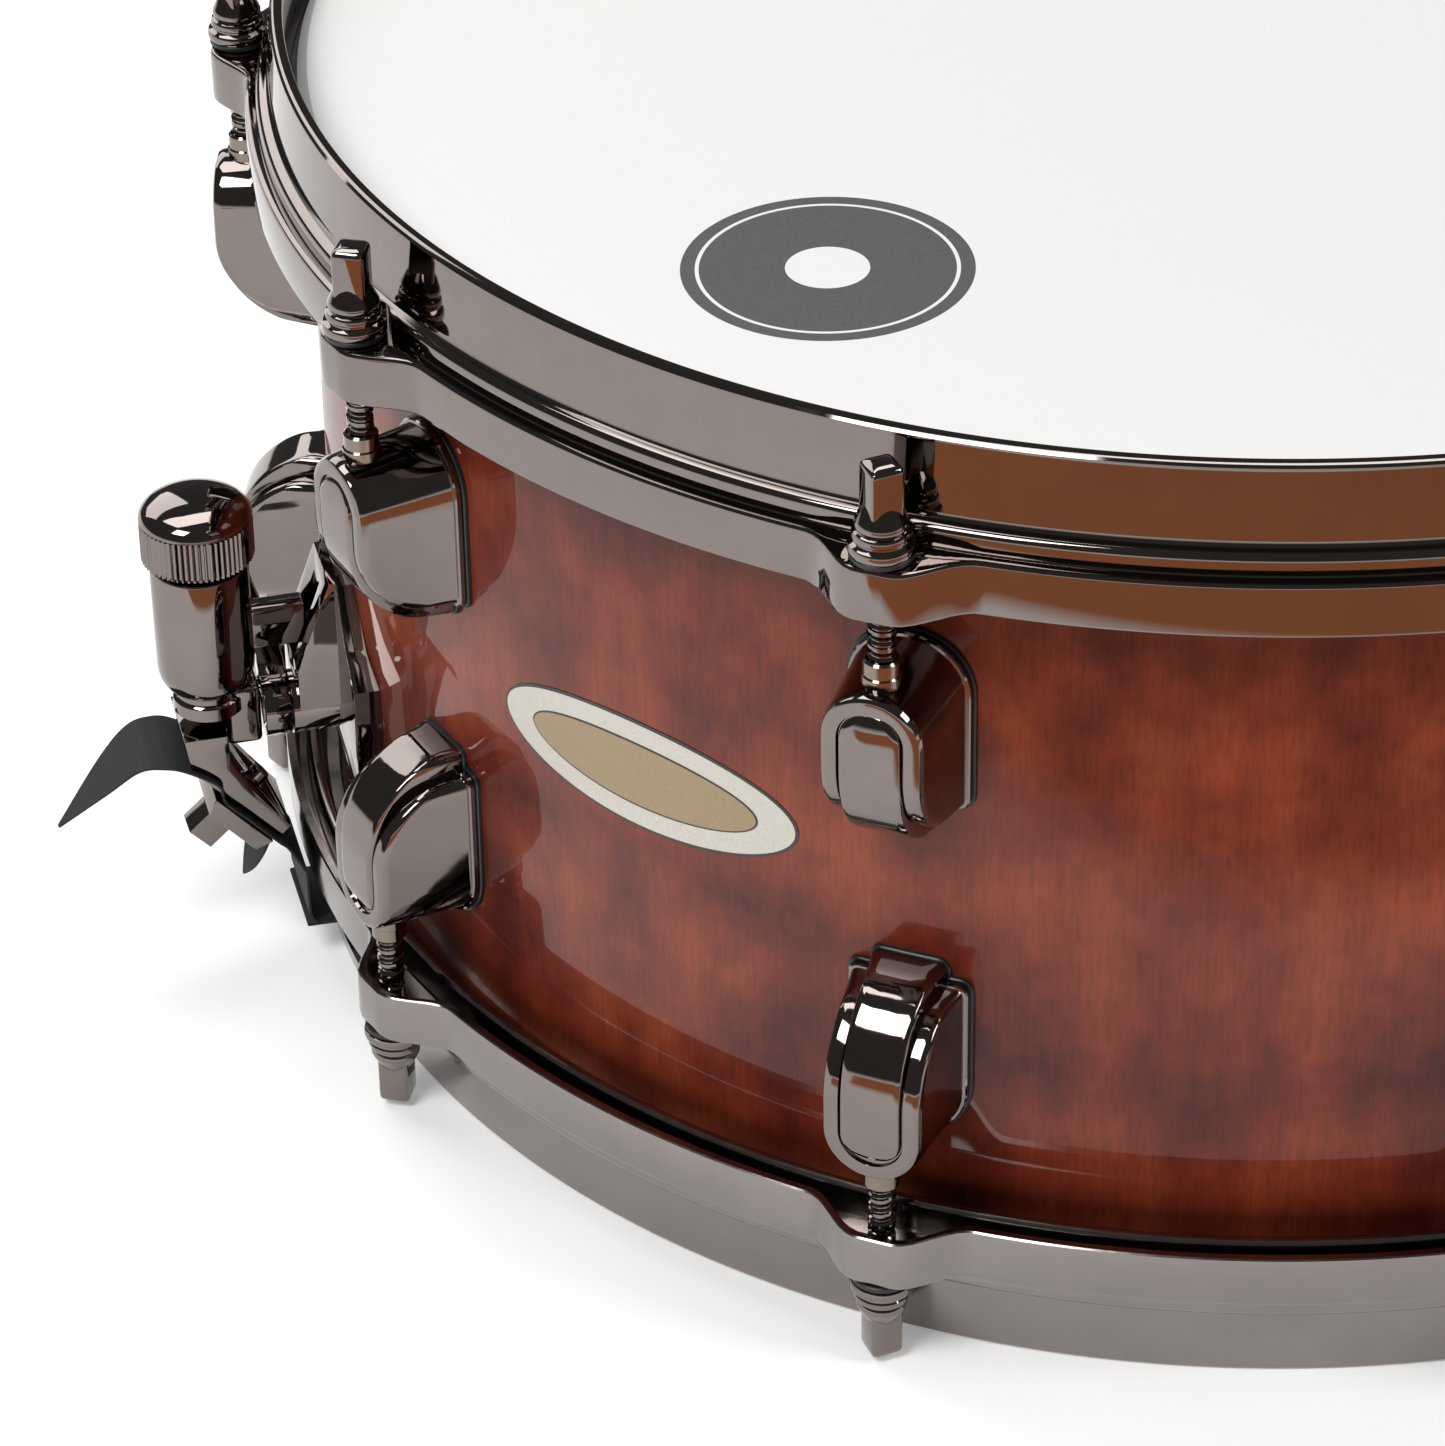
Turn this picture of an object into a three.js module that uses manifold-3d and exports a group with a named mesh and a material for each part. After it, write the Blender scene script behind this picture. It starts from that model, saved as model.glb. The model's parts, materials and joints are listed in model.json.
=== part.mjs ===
// A snare drum standing on its lower hoop. Millimetres, +Z up, the floor at z = 0,
// the snare strainer on the -X side, one pair of lugs facing -Y.
import * as THREE from 'three';
import { mergeVertices } from 'three/addons/utils/BufferGeometryUtils.js';
import Module from 'manifold-3d';

const wasm = await Module();
wasm.setup();

// ---- driving sizes ----
const inch = 25.4;
const shellDiameter = 14 * inch;
const shellDepth = 6.5 * inch;
const shellWall = 7;
const lugCount = 10;
const ringSegments = 60;
const playGap = 0.3;

// ---- hoop section, measured out from the shell and up from the head's edge ----
const hoopProud = 12;
const hoopLip = 3.1;
const hoopWallInset = 3;
const hoopFlangeReach = 11.4;
const hoopFlangeTop = -7.2;
const hoopFlangeBottom = -17.6;
const hoopSkirtBottom = -18.2;
const hoopSkirtInset = 4.6;
const hoopLedge = -5.7;

// ---- tension rods ----
const rodRadius = 2.5;
const rodOffset = 14.4;
const rodHole = rodRadius + 0.5;
const rodHead = 6;
const rodHeadTop = 11;
const washerRadius = 5.85;
const earReach = 5.2;
const earFlat = 3;
const earSpread = 16;

// ---- levels and radii that follow from them ----
const shellRadius = shellDiameter / 2;
const totalHeight = shellDepth + 2 * hoopProud;
const edgeLow = hoopProud;
const edgeHigh = totalHeight - hoopProud;
const rodCircle = shellRadius + rodOffset;
const flangeRadius = shellRadius + hoopFlangeReach;
const earTop = edgeHigh + hoopFlangeTop;
const bearingInset = 1.5;
const filmThickness = 0.4;
const collarGap = 0.6;

const group = new THREE.Group();
group.name = 'snare_drum';

function finish(hex, roughness, metalness) {
  return new THREE.MeshStandardMaterial({ color: hex, roughness, metalness });
}

const looks = {
  wood: () => finish(0x6b2a1a, 0.25, 0),
  chrome: () => finish(0x5a5350, 0.18, 0.9),
  satin: () => finish(0x6a6461, 0.35, 0.9),
  steel: () => finish(0xb9b9bb, 0.3, 0.9),
  film: () => finish(0xf4f2ef, 0.5, 0),
  strap: () => finish(0x1d1b1c, 0.7, 0),
};

function add(name, geometry, look) {
  const mesh = new THREE.Mesh(geometry, look());
  mesh.name = name;
  group.add(mesh);
  return mesh;
}

// ---- solids ----
function toSolid(geometry) {
  const plain = geometry.clone();
  plain.deleteAttribute('normal');
  plain.deleteAttribute('uv');
  const welded = mergeVertices(plain, 1e-3);
  return new wasm.Manifold(new wasm.Mesh({
    numProp: 3,
    vertProperties: new Float32Array(welded.attributes.position.array),
    triVerts: new Uint32Array(welded.index.array),
  }));
}

function toGeometry(solid) {
  const mesh = solid.getMesh();
  const geometry = new THREE.BufferGeometry();
  const stride = mesh.numProp;
  const count = mesh.vertProperties.length / stride;
  const positions = new Float32Array(count * 3);
  for (let i = 0; i < count; i += 1) {
    positions[i * 3] = mesh.vertProperties[i * stride];
    positions[i * 3 + 1] = mesh.vertProperties[i * stride + 1];
    positions[i * 3 + 2] = mesh.vertProperties[i * stride + 2];
  }
  geometry.setAttribute('position', new THREE.BufferAttribute(positions, 3));
  geometry.setIndex(new THREE.BufferAttribute(new Uint32Array(mesh.triVerts), 1));
  geometry.computeVertexNormals();
  return geometry;
}

// A closed (radius, height) outline turned about the drum's own axis.
function turned(outline, segments = ringSegments) {
  const points = outline.map(([radius, height]) => new THREE.Vector2(radius, height));
  const onAxis = outline[0][0] === 0 && outline[outline.length - 1][0] === 0;
  if (!onAxis) {
    points.push(points[0].clone());
  }
  const geometry = new THREE.LatheGeometry(points, segments);
  geometry.rotateX(Math.PI / 2);
  return geometry;
}

// A column of cross-sections: each level is a list of [x, y] with its own height, all the
// same length and running counter-clockwise.
function lofted(levels) {
  const count = levels[0].outline.length;
  const positions = [];
  const index = [];
  levels.forEach(({ z, outline }) => outline.forEach(([x, y]) => positions.push(x, y, z)));
  for (let level = 0; level < levels.length - 1; level += 1) {
    for (let i = 0; i < count; i += 1) {
      const a = level * count + i;
      const b = level * count + ((i + 1) % count);
      index.push(a, b, b + count, a, b + count, a + count);
    }
  }
  const last = (levels.length - 1) * count;
  for (let i = 1; i < count - 1; i += 1) {
    index.push(0, i + 1, i, last, last + i, last + i + 1);
  }
  const geometry = new THREE.BufferGeometry();
  geometry.setAttribute('position', new THREE.Float32BufferAttribute(positions, 3));
  geometry.setIndex(index);
  geometry.computeVertexNormals();
  return geometry;
}

// A flat outline of [a, b] extruded by depth, centred on the third axis.
function slab(outline, depth) {
  const shape = new THREE.Shape(outline.map(([a, b]) => new THREE.Vector2(a, b)));
  const geometry = new THREE.ExtrudeGeometry(shape, { depth, bevelEnabled: false });
  geometry.translate(0, 0, -depth / 2);
  return geometry;
}

// The same, with a running radially outward (-X), b up, and the depth along Y.
function strainerSlab(outline, depth, shift = 0) {
  const geometry = slab(outline.map(([reach, height]) => [-reach, height]), depth);
  geometry.rotateX(Math.PI / 2);
  geometry.translate(0, shift, 0);
  return geometry;
}

function box(x0, x1, y0, y1, z0, z1) {
  const geometry = new THREE.BoxGeometry(x1 - x0, y1 - y0, z1 - z0);
  geometry.translate((x0 + x1) / 2, (y0 + y1) / 2, (z0 + z1) / 2);
  return geometry;
}

// A cylinder between two points.
function bar(from, to, radius, segments = 12) {
  const start = new THREE.Vector3(...from);
  const along = new THREE.Vector3(...to).sub(start);
  const geometry = new THREE.CylinderGeometry(radius, radius, along.length(), segments);
  geometry.translate(0, along.length() / 2, 0);
  const turn = new THREE.Quaternion();
  turn.setFromUnitVectors(new THREE.Vector3(0, 1, 0), along.normalize());
  geometry.applyQuaternion(turn);
  geometry.translate(start.x, start.y, start.z);
  return geometry;
}

// Turns a solid upside down, so what was made for the top of the drum fits the bottom.
function flipped(solid) {
  return solid.mirror([0, 0, 1]).translate([0, 0, totalHeight]);
}

// Lug positions run round from the -Y side, from the top view counter-clockwise.
function lugAngle(number) {
  return (number * 360) / lugCount;
}

function padded(number) {
  return String(number + 1).padStart(2, '0');
}

// ---- shell ----
const shellInner = shellRadius - shellWall;
const edgeRadius = shellRadius - bearingInset;
const bearingFall = edgeRadius - shellInner;
const ventAngle = 126;
const ventHeight = totalHeight / 2;
const ventRadius = 5;

function shellSolid() {
  const body = toSolid(turned([
    [shellRadius, edgeLow + bearingInset],
    [shellRadius, edgeHigh - bearingInset],
    [edgeRadius, edgeHigh],
    [shellInner, edgeHigh - bearingFall],
    [shellInner, edgeLow + bearingFall],
    [edgeRadius, edgeLow],
  ]));
  const drill = bar([0, -shellInner + 10, ventHeight], [0, -shellRadius - 10, ventHeight], ventRadius);
  const hole = toSolid(drill);
  return body.subtract(hole.rotate([0, 0, ventAngle]));
}

add('shell', toGeometry(shellSolid()), looks.wood);

function ventSolid() {
  const bore = 3.6;
  const sleeve = ventRadius - playGap;
  const flange = 8.5;
  const outside = shellRadius + playGap;
  const inside = shellInner - 1.4;
  const outline = [
    [bore, inside - 1.2],
    [flange, inside - 1.2],
    [flange, inside],
    [sleeve, inside],
    [sleeve, outside],
    [flange, outside],
    [flange - 1.5, outside + 1.2],
    [bore, outside + 1.2],
  ];
  const ring = toSolid(turned(outline, 16)).rotate([90, 0, 0]);
  return ring.translate([0, 0, ventHeight]).rotate([0, 0, ventAngle]);
}

add('air_vent', toGeometry(ventSolid()), looks.chrome);

// ---- hoops ----
function hoopOutline() {
  const at = (out, up) => [shellRadius + out, edgeHigh + up];
  return [
    at(hoopLip, hoopProud),
    at(hoopLip + 1.8, hoopProud),
    at(hoopLip + 2.7, hoopProud - 1.1),
    at(hoopLip + 3.8, hoopWallInset - 5),
    at(hoopLip + 5.8, hoopWallInset - 6),
    at(hoopLip + 6.1, hoopFlangeTop),
    at(hoopFlangeReach - 0.8, hoopFlangeTop),
    at(hoopFlangeReach, hoopFlangeTop - 0.8),
    at(hoopFlangeReach, hoopFlangeBottom),
    at(hoopSkirtInset + 2, hoopFlangeBottom),
    at(hoopSkirtInset + 1, hoopSkirtBottom),
    at(hoopSkirtInset, hoopSkirtBottom),
    at(hoopSkirtInset, hoopLedge),
    at(hoopLip, hoopLedge),
  ].reverse();
}

// How far the ear stands out from the flange, at a distance along the hoop from the rod.
function earOutline() {
  const tip = rodCircle + earReach;
  const steps = 4;
  const side = [];
  for (let i = 0; i <= steps; i += 1) {
    const t = i / steps;
    const ease = t * t * (3 - 2 * t);
    const along = earFlat + t * (earSpread - earFlat);
    const out = tip + (flangeRadius - tip) * ease;
    const reach = Math.sqrt(out * out - along * along * ease);
    side.push([along, -reach]);
  }
  const root = flangeRadius - 5;
  side.push([earSpread, -root]);
  const far = side.slice().reverse().map(([along, out]) => [-along, out]);
  return [...far, ...side];
}

function hoopSolid() {
  let hoop = toSolid(turned(hoopOutline()));
  const ear = toSolid(lofted([
    { z: edgeHigh + hoopFlangeBottom, outline: earOutline() },
    { z: earTop, outline: earOutline() },
  ]));
  const seat = toSolid(bar([0, -rodCircle, earTop], [0, -rodCircle, edgeHigh + 1], washerRadius + 0.7, 12));
  const hole = toSolid(bar([0, -rodCircle, earTop - 30], [0, -rodCircle, earTop + 1], rodHole, 8));
  for (let i = 0; i < lugCount; i += 1) {
    hoop = hoop.add(ear.rotate([0, 0, lugAngle(i)]));
  }
  for (let i = 0; i < lugCount; i += 1) {
    hoop = hoop.subtract(seat.rotate([0, 0, lugAngle(i)]));
    hoop = hoop.subtract(hole.rotate([0, 0, lugAngle(i)]));
  }
  return hoop;
}

const gateWidth = 72;
const gateSill = edgeLow - 7.5;
const gateHead = edgeLow + 5;

function lowerHoopSolid() {
  let hoop = flipped(hoopSolid());
  for (const side of [-1, 1]) {
    const near = side * (shellRadius - 2);
    const out = side * (flangeRadius + 2.6);
    const half = gateWidth / 2;
    const gate = box(Math.min(near, out), Math.max(near, out), -half, half, gateSill, gateHead);
    hoop = hoop.subtract(toSolid(gate));
  }
  return hoop;
}

add('top_hoop', toGeometry(hoopSolid()), looks.chrome);
add('bottom_hoop', toGeometry(lowerHoopSolid()), looks.satin);

// ---- heads: a skin over the bearing edge with its own flesh hoop round the shell ----
const collarInner = shellRadius + collarGap;
const fleshTop = edgeHigh + hoopLedge - 0.3;
const fleshOuter = shellRadius + hoopSkirtInset - 0.5;

function filmOutline() {
  const slope = edgeRadius + playGap / 2;
  const outside = collarInner + filmThickness + 0.1;
  return [
    [0, edgeHigh + 0.05],
    [slope, edgeHigh + 0.05],
    [collarInner, edgeHigh - 1.8],
    [collarInner, fleshTop + 0.2],
    [outside, fleshTop + 0.2],
    [outside, edgeHigh - 1.5],
    [slope + 0.3, edgeHigh + 0.05 + filmThickness],
    [0, edgeHigh + 0.05 + filmThickness],
  ];
}

function fleshOutline() {
  return [
    [collarInner, fleshTop - 4.4],
    [fleshOuter, fleshTop - 4.4],
    [fleshOuter, fleshTop],
    [collarInner, fleshTop],
  ];
}

const film = toSolid(turned(filmOutline()));
const flesh = toSolid(turned(fleshOutline()));
add('batter_head_film', toGeometry(film), looks.film);
add('batter_head_ring', toGeometry(flesh), looks.steel);
add('snare_head_film', toGeometry(flipped(film)), looks.film);
add('snare_head_ring', toGeometry(flipped(flesh)), looks.steel);

// ---- lugs ----
const lugBack = shellRadius + playGap;
const lugFront = rodCircle + 6.6;
const lugBackHalf = 11.3;
const lugFrontHalf = 9.1;
const archCentre = edgeHigh - 41;
const lugHigh = archCentre + 10.4;
const lugLow = archCentre - 26.4;
const lugCurve = 20;

// The front curves back to the shell towards the end that faces away from the hoop.
function lugReach(z) {
  const s = Math.min(1, (z - lugLow) / lugCurve);
  const reach = Math.sqrt(Math.max(0, 1 - (1 - s) * (1 - s)));
  return lugBack + 1.6 + (lugFront - lugBack - 1.6) * reach;
}

function archHalf(half, z) {
  const rise = Math.max(0, z - archCentre);
  return Math.sqrt(Math.max(1, half * half - rise * rise));
}

function lugSection(z) {
  const back = archHalf(lugBackHalf, z);
  const front = archHalf(lugFrontHalf, z);
  const reach = z > archCentre + lugFrontHalf ? lugFront - 2 : lugReach(z);
  const shoulder = Math.min(reach - 0.5, lugBack + 3);
  const nose = Math.min(1.2, front / 2);
  return [
    [back, -lugBack],
    [-back, -lugBack],
    [-back, -shoulder],
    [-front, -(reach - 0.4)],
    [-front + nose, -reach],
    [front - nose, -reach],
    [front, -(reach - 0.4)],
    [back, -shoulder],
  ];
}

function lugSolid() {
  const drop = archCentre - lugLow;
  const heights = [0, 0.1, 0.35, 0.7, 1].map((part) => lugLow + part * drop);
  heights.push(archCentre + 4.5, archCentre + 7.6, archCentre + 9, lugHigh);
  const body = toSolid(lofted(heights.map((z) => ({ z, outline: lugSection(z) }))));
  const boreRadius = rodRadius + playGap;
  const bore = toSolid(bar([0, -rodCircle, archCentre - 9], [0, -rodCircle, lugHigh + 5], boreRadius, 8));
  return body.subtract(bore);
}

const lug = lugSolid();
for (let i = 0; i < lugCount; i += 1) {
  const turnedLug = lug.rotate([0, 0, lugAngle(i)]);
  add(`lug_top_${padded(i)}`, toGeometry(turnedLug), looks.chrome);
  add(`lug_bottom_${padded(i)}`, toGeometry(flipped(turnedLug)), looks.chrome);
}

// ---- tension rods, each with its washers ----
function rodSection(half, square) {
  const outline = [];
  for (let i = 0; i < 8; i += 1) {
    const angle = (i * Math.PI) / 4;
    const stretch = square && i % 2 === 1 ? 1.13 : 1;
    outline.push([half * stretch * Math.cos(angle), half * stretch * Math.sin(angle)]);
  }
  return outline;
}

function rodSolid() {
  const tip = archCentre - 6;
  const seat = earTop + 0.1;
  const head = rodHead / 2;
  const top = edgeHigh + rodHeadTop;
  const levels = [
    [tip, rodRadius - 0.7],
    [tip + 1, rodRadius],
    [seat, rodRadius],
    [seat + 0.01, washerRadius],
    [seat + 4.2, washerRadius],
    [seat + 5.4, 4.8],
    [seat + 8.2, 4.6],
    [seat + 9.6, head],
    [top, head - 0.2],
  ];
  const rod = lofted(levels.map(([z, half], order) => ({ z, outline: rodSection(half, order > 6) })));
  return toSolid(rod).translate([0, -rodCircle, 0]);
}

const rod = rodSolid();
for (let i = 0; i < lugCount; i += 1) {
  const placed = rod.rotate([0, 0, lugAngle(i)]);
  add(`tension_rod_top_${padded(i)}`, toGeometry(placed), looks.chrome);
  add(`tension_rod_bottom_${padded(i)}`, toGeometry(flipped(placed)), looks.satin);
}

// ---- strainer: base, lever, carriage, knob, strap arm, jaw and bolt ----
const axleHeight = edgeLow + 43.5;
const stemRadius = 3;
const barrelRadius = 6.4;
const barrelReach = shellRadius + 12.4;
const journalRadius = 3.6;
const hubStart = barrelReach + playGap;
const hubEnd = hubStart + 5.2;
const hubRadius = 6.2;
const carriageFace = hubEnd + 0.6;
const cylinderReach = shellRadius + 28.2;
const cylinderRadius = 9.6;
const cylinderLow = axleHeight + 8.5;
const cylinderHigh = cylinderLow + 26.5;
const throwDrop = 7;
const crankRadius = throwDrop / Math.SQRT2;
const crankPin = 0.9;
const ribHalf = 2.4;
const ribLow = cylinderLow + 6;

// Cut from whatever is screwed to the shell, so its back follows the shell's curve.
function shellSpace() {
  const out = shellRadius + playGap;
  const inside = shellRadius - 20;
  return toSolid(turned([[inside, 0], [out, 0], [out, totalHeight], [inside, totalHeight]]));
}

function strainerBaseSolid() {
  const inner = shellRadius - 6;
  const plateFace = shellRadius + 3.4;
  const plateLow = axleHeight - 8.5;
  const plateSide = axleHeight + 15.5;
  const plateTop = axleHeight + 30.5;
  const plateShape = [
    [-24.5, plateLow], [24.5, plateLow], [24.5, plateSide], [17, plateSide + 5],
    [9, plateTop], [-9, plateTop], [-17, plateSide + 5], [-24.5, plateSide],
  ];
  const plate = slab(plateShape, plateFace - inner);
  plate.rotateX(Math.PI / 2);
  plate.rotateZ(Math.PI / 2);
  plate.translate(-(inner + plateFace) / 2, 0, 0);
  let base = toSolid(plate);
  const cheek = strainerSlab([
    [inner, plateTop], [plateFace + 1, plateTop], [barrelReach - 1, axleHeight + 11.5],
    [barrelReach - 1, axleHeight + 2.5], [inner, axleHeight + 2.5],
  ], 16);
  base = base.add(toSolid(cheek));
  base = base.add(toSolid(bar([-inner, 0, axleHeight], [-barrelReach, 0, axleHeight], barrelRadius, 16)));
  base = base.add(toSolid(bar([-inner, 0, axleHeight], [-(hubEnd + 0.2), 0, axleHeight], journalRadius, 12)));
  const track = box(
    -barrelReach - 1, -(plateFace + 2), -ribHalf - playGap, ribHalf + playGap,
    ribLow - throwDrop - playGap, plateTop + 4);
  return base.subtract(toSolid(track)).subtract(shellSpace());
}

// The handle climbs from the hub and bends round the far side of the cylinder.
function leverSolid() {
  const hub = toSolid(bar([-hubStart, 0, axleHeight], [-hubEnd, 0, axleHeight], hubRadius, 20));
  const boreRadius = journalRadius + playGap;
  const bore = toSolid(bar([-hubStart + 1, 0, axleHeight], [-hubEnd - 1, 0, axleHeight], boreRadius, 12));
  const middle = (hubStart + hubEnd) / 2;
  const beside = cylinderRadius + 4.4;
  const stations = [
    { z: axleHeight + 2, reach: middle, across: 0.5, deep: 2.5, wide: 3.4 },
    { z: axleHeight + 9, reach: middle, across: beside - 7.5, deep: 2.4, wide: 3.2 },
    { z: axleHeight + 15, reach: middle + 2, across: beside - 2.5, deep: 2.6, wide: 2.6 },
    { z: axleHeight + 22, reach: middle + 5.5, across: beside - 0.5, deep: 4, wide: 2.2 },
    { z: axleHeight + 32, reach: middle + 7.5, across: beside, deep: 5, wide: 1.8 },
    { z: axleHeight + 34, reach: middle + 7.5, across: beside, deep: 3.6, wide: 1 },
  ];
  const handle = toSolid(lofted(stations.map(({ z, reach, across, deep, wide }) => ({
    z,
    outline: [
      [-(reach + deep), across - wide],
      [-(reach - deep), across - wide],
      [-(reach - deep), across + wide],
      [-(reach + deep), across + wide],
    ],
  }))));
  const side = crankRadius / Math.SQRT2;
  const pinHeight = axleHeight + side;
  const pin = bar([-hubEnd + 1, side, pinHeight], [-carriageFace - 4, side, pinHeight], crankPin, 10);
  return hub.add(handle).subtract(bore).add(toSolid(pin));
}

function carriageSolid() {
  const upright = (z0, z1, radius, segments) =>
    toSolid(bar([-cylinderReach, 0, z0], [-cylinderReach, 0, z1], radius, segments));
  const neckLow = cylinderLow - 6.5;
  let body = upright(cylinderLow, cylinderHigh, cylinderRadius, 24);
  body = body.add(upright(neckLow, cylinderLow + 1, 7, 20));
  const linkEnd = cylinderReach - 2.7;
  body = body.add(toSolid(box(-linkEnd, -carriageFace, -4, 9, axleHeight - 6, axleHeight + 7)));
  body = body.add(toSolid(box(
    -cylinderReach, -(barrelReach - 4), -ribHalf, ribHalf, ribLow, ribLow + 9)));
  const side = crankRadius / Math.SQRT2;
  const slot = box(
    -carriageFace - 4.6, -carriageFace + 1,
    side - crankPin - 0.8, crankRadius + crankPin + 0.8,
    axleHeight + side - crankPin - playGap, axleHeight + side + crankPin + playGap,
  );
  body = body.subtract(toSolid(slot));
  const bore = stemRadius + playGap;
  body = body.subtract(upright(axleHeight - 7, cylinderLow + 8, bore, 12));
  return body.subtract(upright(cylinderHigh - 10, cylinderHigh + 1, bore, 12));
}

const knobRadius = 11.2;
const knobLow = cylinderHigh + 0.8;
const knurlHigh = knobLow + 9.2;

function knobSolid() {
  const outline = [
    [0, knobLow - 9],
    [stemRadius, knobLow - 9],
    [stemRadius, knobLow],
    [knobRadius - 0.8, knobLow],
    [knobRadius, knobLow + 0.8],
    [knobRadius, knurlHigh],
    [knobRadius * 0.85, knurlHigh + 2.4],
    [knobRadius * 0.5, knurlHigh + 4.2],
    [0, knurlHigh + 4.8],
  ];
  return toSolid(turned(outline, 24)).translate([-cylinderReach, 0, 0]);
}

// The clamp's sloping plane: the strap lies between the arm and the jaw.
const clampTilt = THREE.MathUtils.degToRad(48);
const clampReach = shellRadius + 23.7;
const clampHeight = axleHeight - 19.5;
const strapThickness = 0.5;
const strapWidth = 20;

// A point on that plane, along it (up and outward) and off it (down and outward).
function clampPoint(along, off) {
  return [
    clampReach + along * Math.cos(clampTilt) + off * Math.sin(clampTilt),
    clampHeight + along * Math.sin(clampTilt) - off * Math.cos(clampTilt),
  ];
}

function clampBar(from, to, radius, segments) {
  const [r0, z0] = clampPoint(0, from);
  const [r1, z1] = clampPoint(0, to);
  return toSolid(bar([-r0, 0, z0], [-r1, 0, z1], radius, segments));
}

const boltRadius = 2;
const armFace = -(strapThickness / 2 + playGap);
const jawFace = strapThickness / 2 + playGap;
const jawThickness = 3.6;
const armTop = cylinderLow - 9;

function armSolid() {
  const outline = [
    clampPoint(-9, armFace),
    clampPoint(15.5, armFace),
    [cylinderReach + 6.5, armTop],
    [cylinderReach - 2.2, armTop],
    [cylinderReach - 2.2, armTop - 8],
    clampPoint(-9, armFace - 3.2),
  ];
  let arm = toSolid(strainerSlab(outline, 17));
  const stem = bar([-cylinderReach, 0, armTop - 3], [-cylinderReach, 0, armTop + 11], stemRadius, 12);
  arm = arm.add(toSolid(stem));
  return arm.subtract(clampBar(armFace - 12, armFace + 1, boltRadius + playGap, 10));
}

function jawSolid() {
  const outline = [
    clampPoint(-8, jawFace),
    clampPoint(-6.5, jawFace + jawThickness),
    clampPoint(6.5, jawFace + jawThickness),
    clampPoint(8, jawFace),
  ];
  const jaw = toSolid(strainerSlab(outline, 20));
  return jaw.subtract(clampBar(jawFace - 1, jawFace + jawThickness + 1, boltRadius + playGap, 10));
}

function boltSolid() {
  const seat = jawFace + jawThickness + 0.1;
  const shank = clampBar(armFace - 6, seat + 1, boltRadius, 10);
  const flange = clampBar(seat, seat + 1.4, 4.3, 14);
  const head = clampBar(seat + 1, seat + 7.6, rodHead / Math.SQRT2, 4);
  return shank.add(flange).add(head);
}

add('strainer_base', toGeometry(strainerBaseSolid()), looks.chrome);
add('strainer_lever', toGeometry(leverSolid()), looks.chrome);
add('strainer_carriage', toGeometry(carriageSolid()), looks.chrome);
add('tension_knob', toGeometry(knobSolid()), looks.chrome);
add('strap_arm', toGeometry(armSolid()), looks.chrome);
add('strap_jaw', toGeometry(jawSolid()), looks.chrome);
add('strap_bolt', toGeometry(boltSolid()), looks.chrome);

// ---- butt plate opposite the strainer ----
const buttFace = flangeRadius + 0.4;
const buttLow = edgeLow + 26;
const buttHigh = buttLow + 24;

function buttBaseSolid() {
  const plate = strainerSlab([
    [shellRadius - 6, buttLow - 2],
    [buttFace, buttLow],
    [buttFace, buttHigh - 4],
    [buttFace - 4, buttHigh],
    [shellRadius - 6, buttHigh + 4],
  ], 38);
  return toSolid(plate).rotate([0, 0, 180]).subtract(shellSpace());
}

const buttStrapReach = buttFace + playGap + strapThickness / 2;
const buttJawFace = buttFace + 2 * playGap + strapThickness;

add('butt_base', toGeometry(buttBaseSolid()), looks.chrome);
add('butt_jaw', box(buttJawFace, buttJawFace + 4, -12, 12, buttLow + 3, buttHigh - 6), looks.chrome);

// ---- snare wires: coiled strands between two end plates, and the straps that pull them ----
const strandCount = 20;
const strandPitch = 2.3;
const strandThickness = 1.7;
const strandEnd = shellRadius - 36;
const strandTop = edgeLow - 0.05 - filmThickness - playGap;
const endPlateLength = 12;
const endPlateLow = strandTop - 2.4;

function wiresSolid() {
  const half = (strandCount * strandPitch) / 2;
  let wires = null;
  for (const side of [-1, 1]) {
    const inner = side * strandEnd;
    const outer = side * (strandEnd + endPlateLength);
    const plate = toSolid(box(
      Math.min(inner, outer), Math.max(inner, outer), -half, half, endPlateLow, endPlateLow + 1.5));
    wires = wires ? wires.add(plate) : plate;
  }
  for (let i = 0; i < strandCount; i += 1) {
    const y = (i - (strandCount - 1) / 2) * strandPitch;
    const strand = box(
      -strandEnd - 3, strandEnd + 3,
      y - strandThickness / 2, y + strandThickness / 2,
      strandTop - strandThickness, strandTop,
    );
    wires = wires.add(toSolid(strand));
  }
  return wires;
}

// A ribbon along a path of [reach, height], with its half width at each point.
function ribbon(path, halves) {
  const normalAt = (i) => {
    const [r0, z0] = path[Math.max(0, i - 1)];
    const [r1, z1] = path[Math.min(path.length - 1, i + 1)];
    const length = Math.hypot(r1 - r0, z1 - z0);
    return [-(z1 - z0) / length, (r1 - r0) / length];
  };
  const positions = [];
  path.forEach(([reach, height], i) => {
    const [nr, nz] = normalAt(i);
    const half = strapThickness / 2;
    for (const [off, side] of [[-half, -1], [-half, 1], [half, 1], [half, -1]]) {
      positions.push(-(reach + nr * off), side * halves[i], height + nz * off);
    }
  });
  const index = [];
  for (let i = 0; i < path.length - 1; i += 1) {
    for (let k = 0; k < 4; k += 1) {
      const a = i * 4 + k;
      const b = i * 4 + ((k + 1) % 4);
      index.push(a, b + 4, b, a, a + 4, b + 4);
    }
  }
  const last = (path.length - 1) * 4;
  index.push(0, 1, 2, 0, 2, 3, last, last + 2, last + 1, last, last + 3, last + 2);
  const geometry = new THREE.BufferGeometry();
  geometry.setAttribute('position', new THREE.Float32BufferAttribute(positions, 3));
  geometry.setIndex(index);
  geometry.computeVertexNormals();
  return geometry;
}

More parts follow.
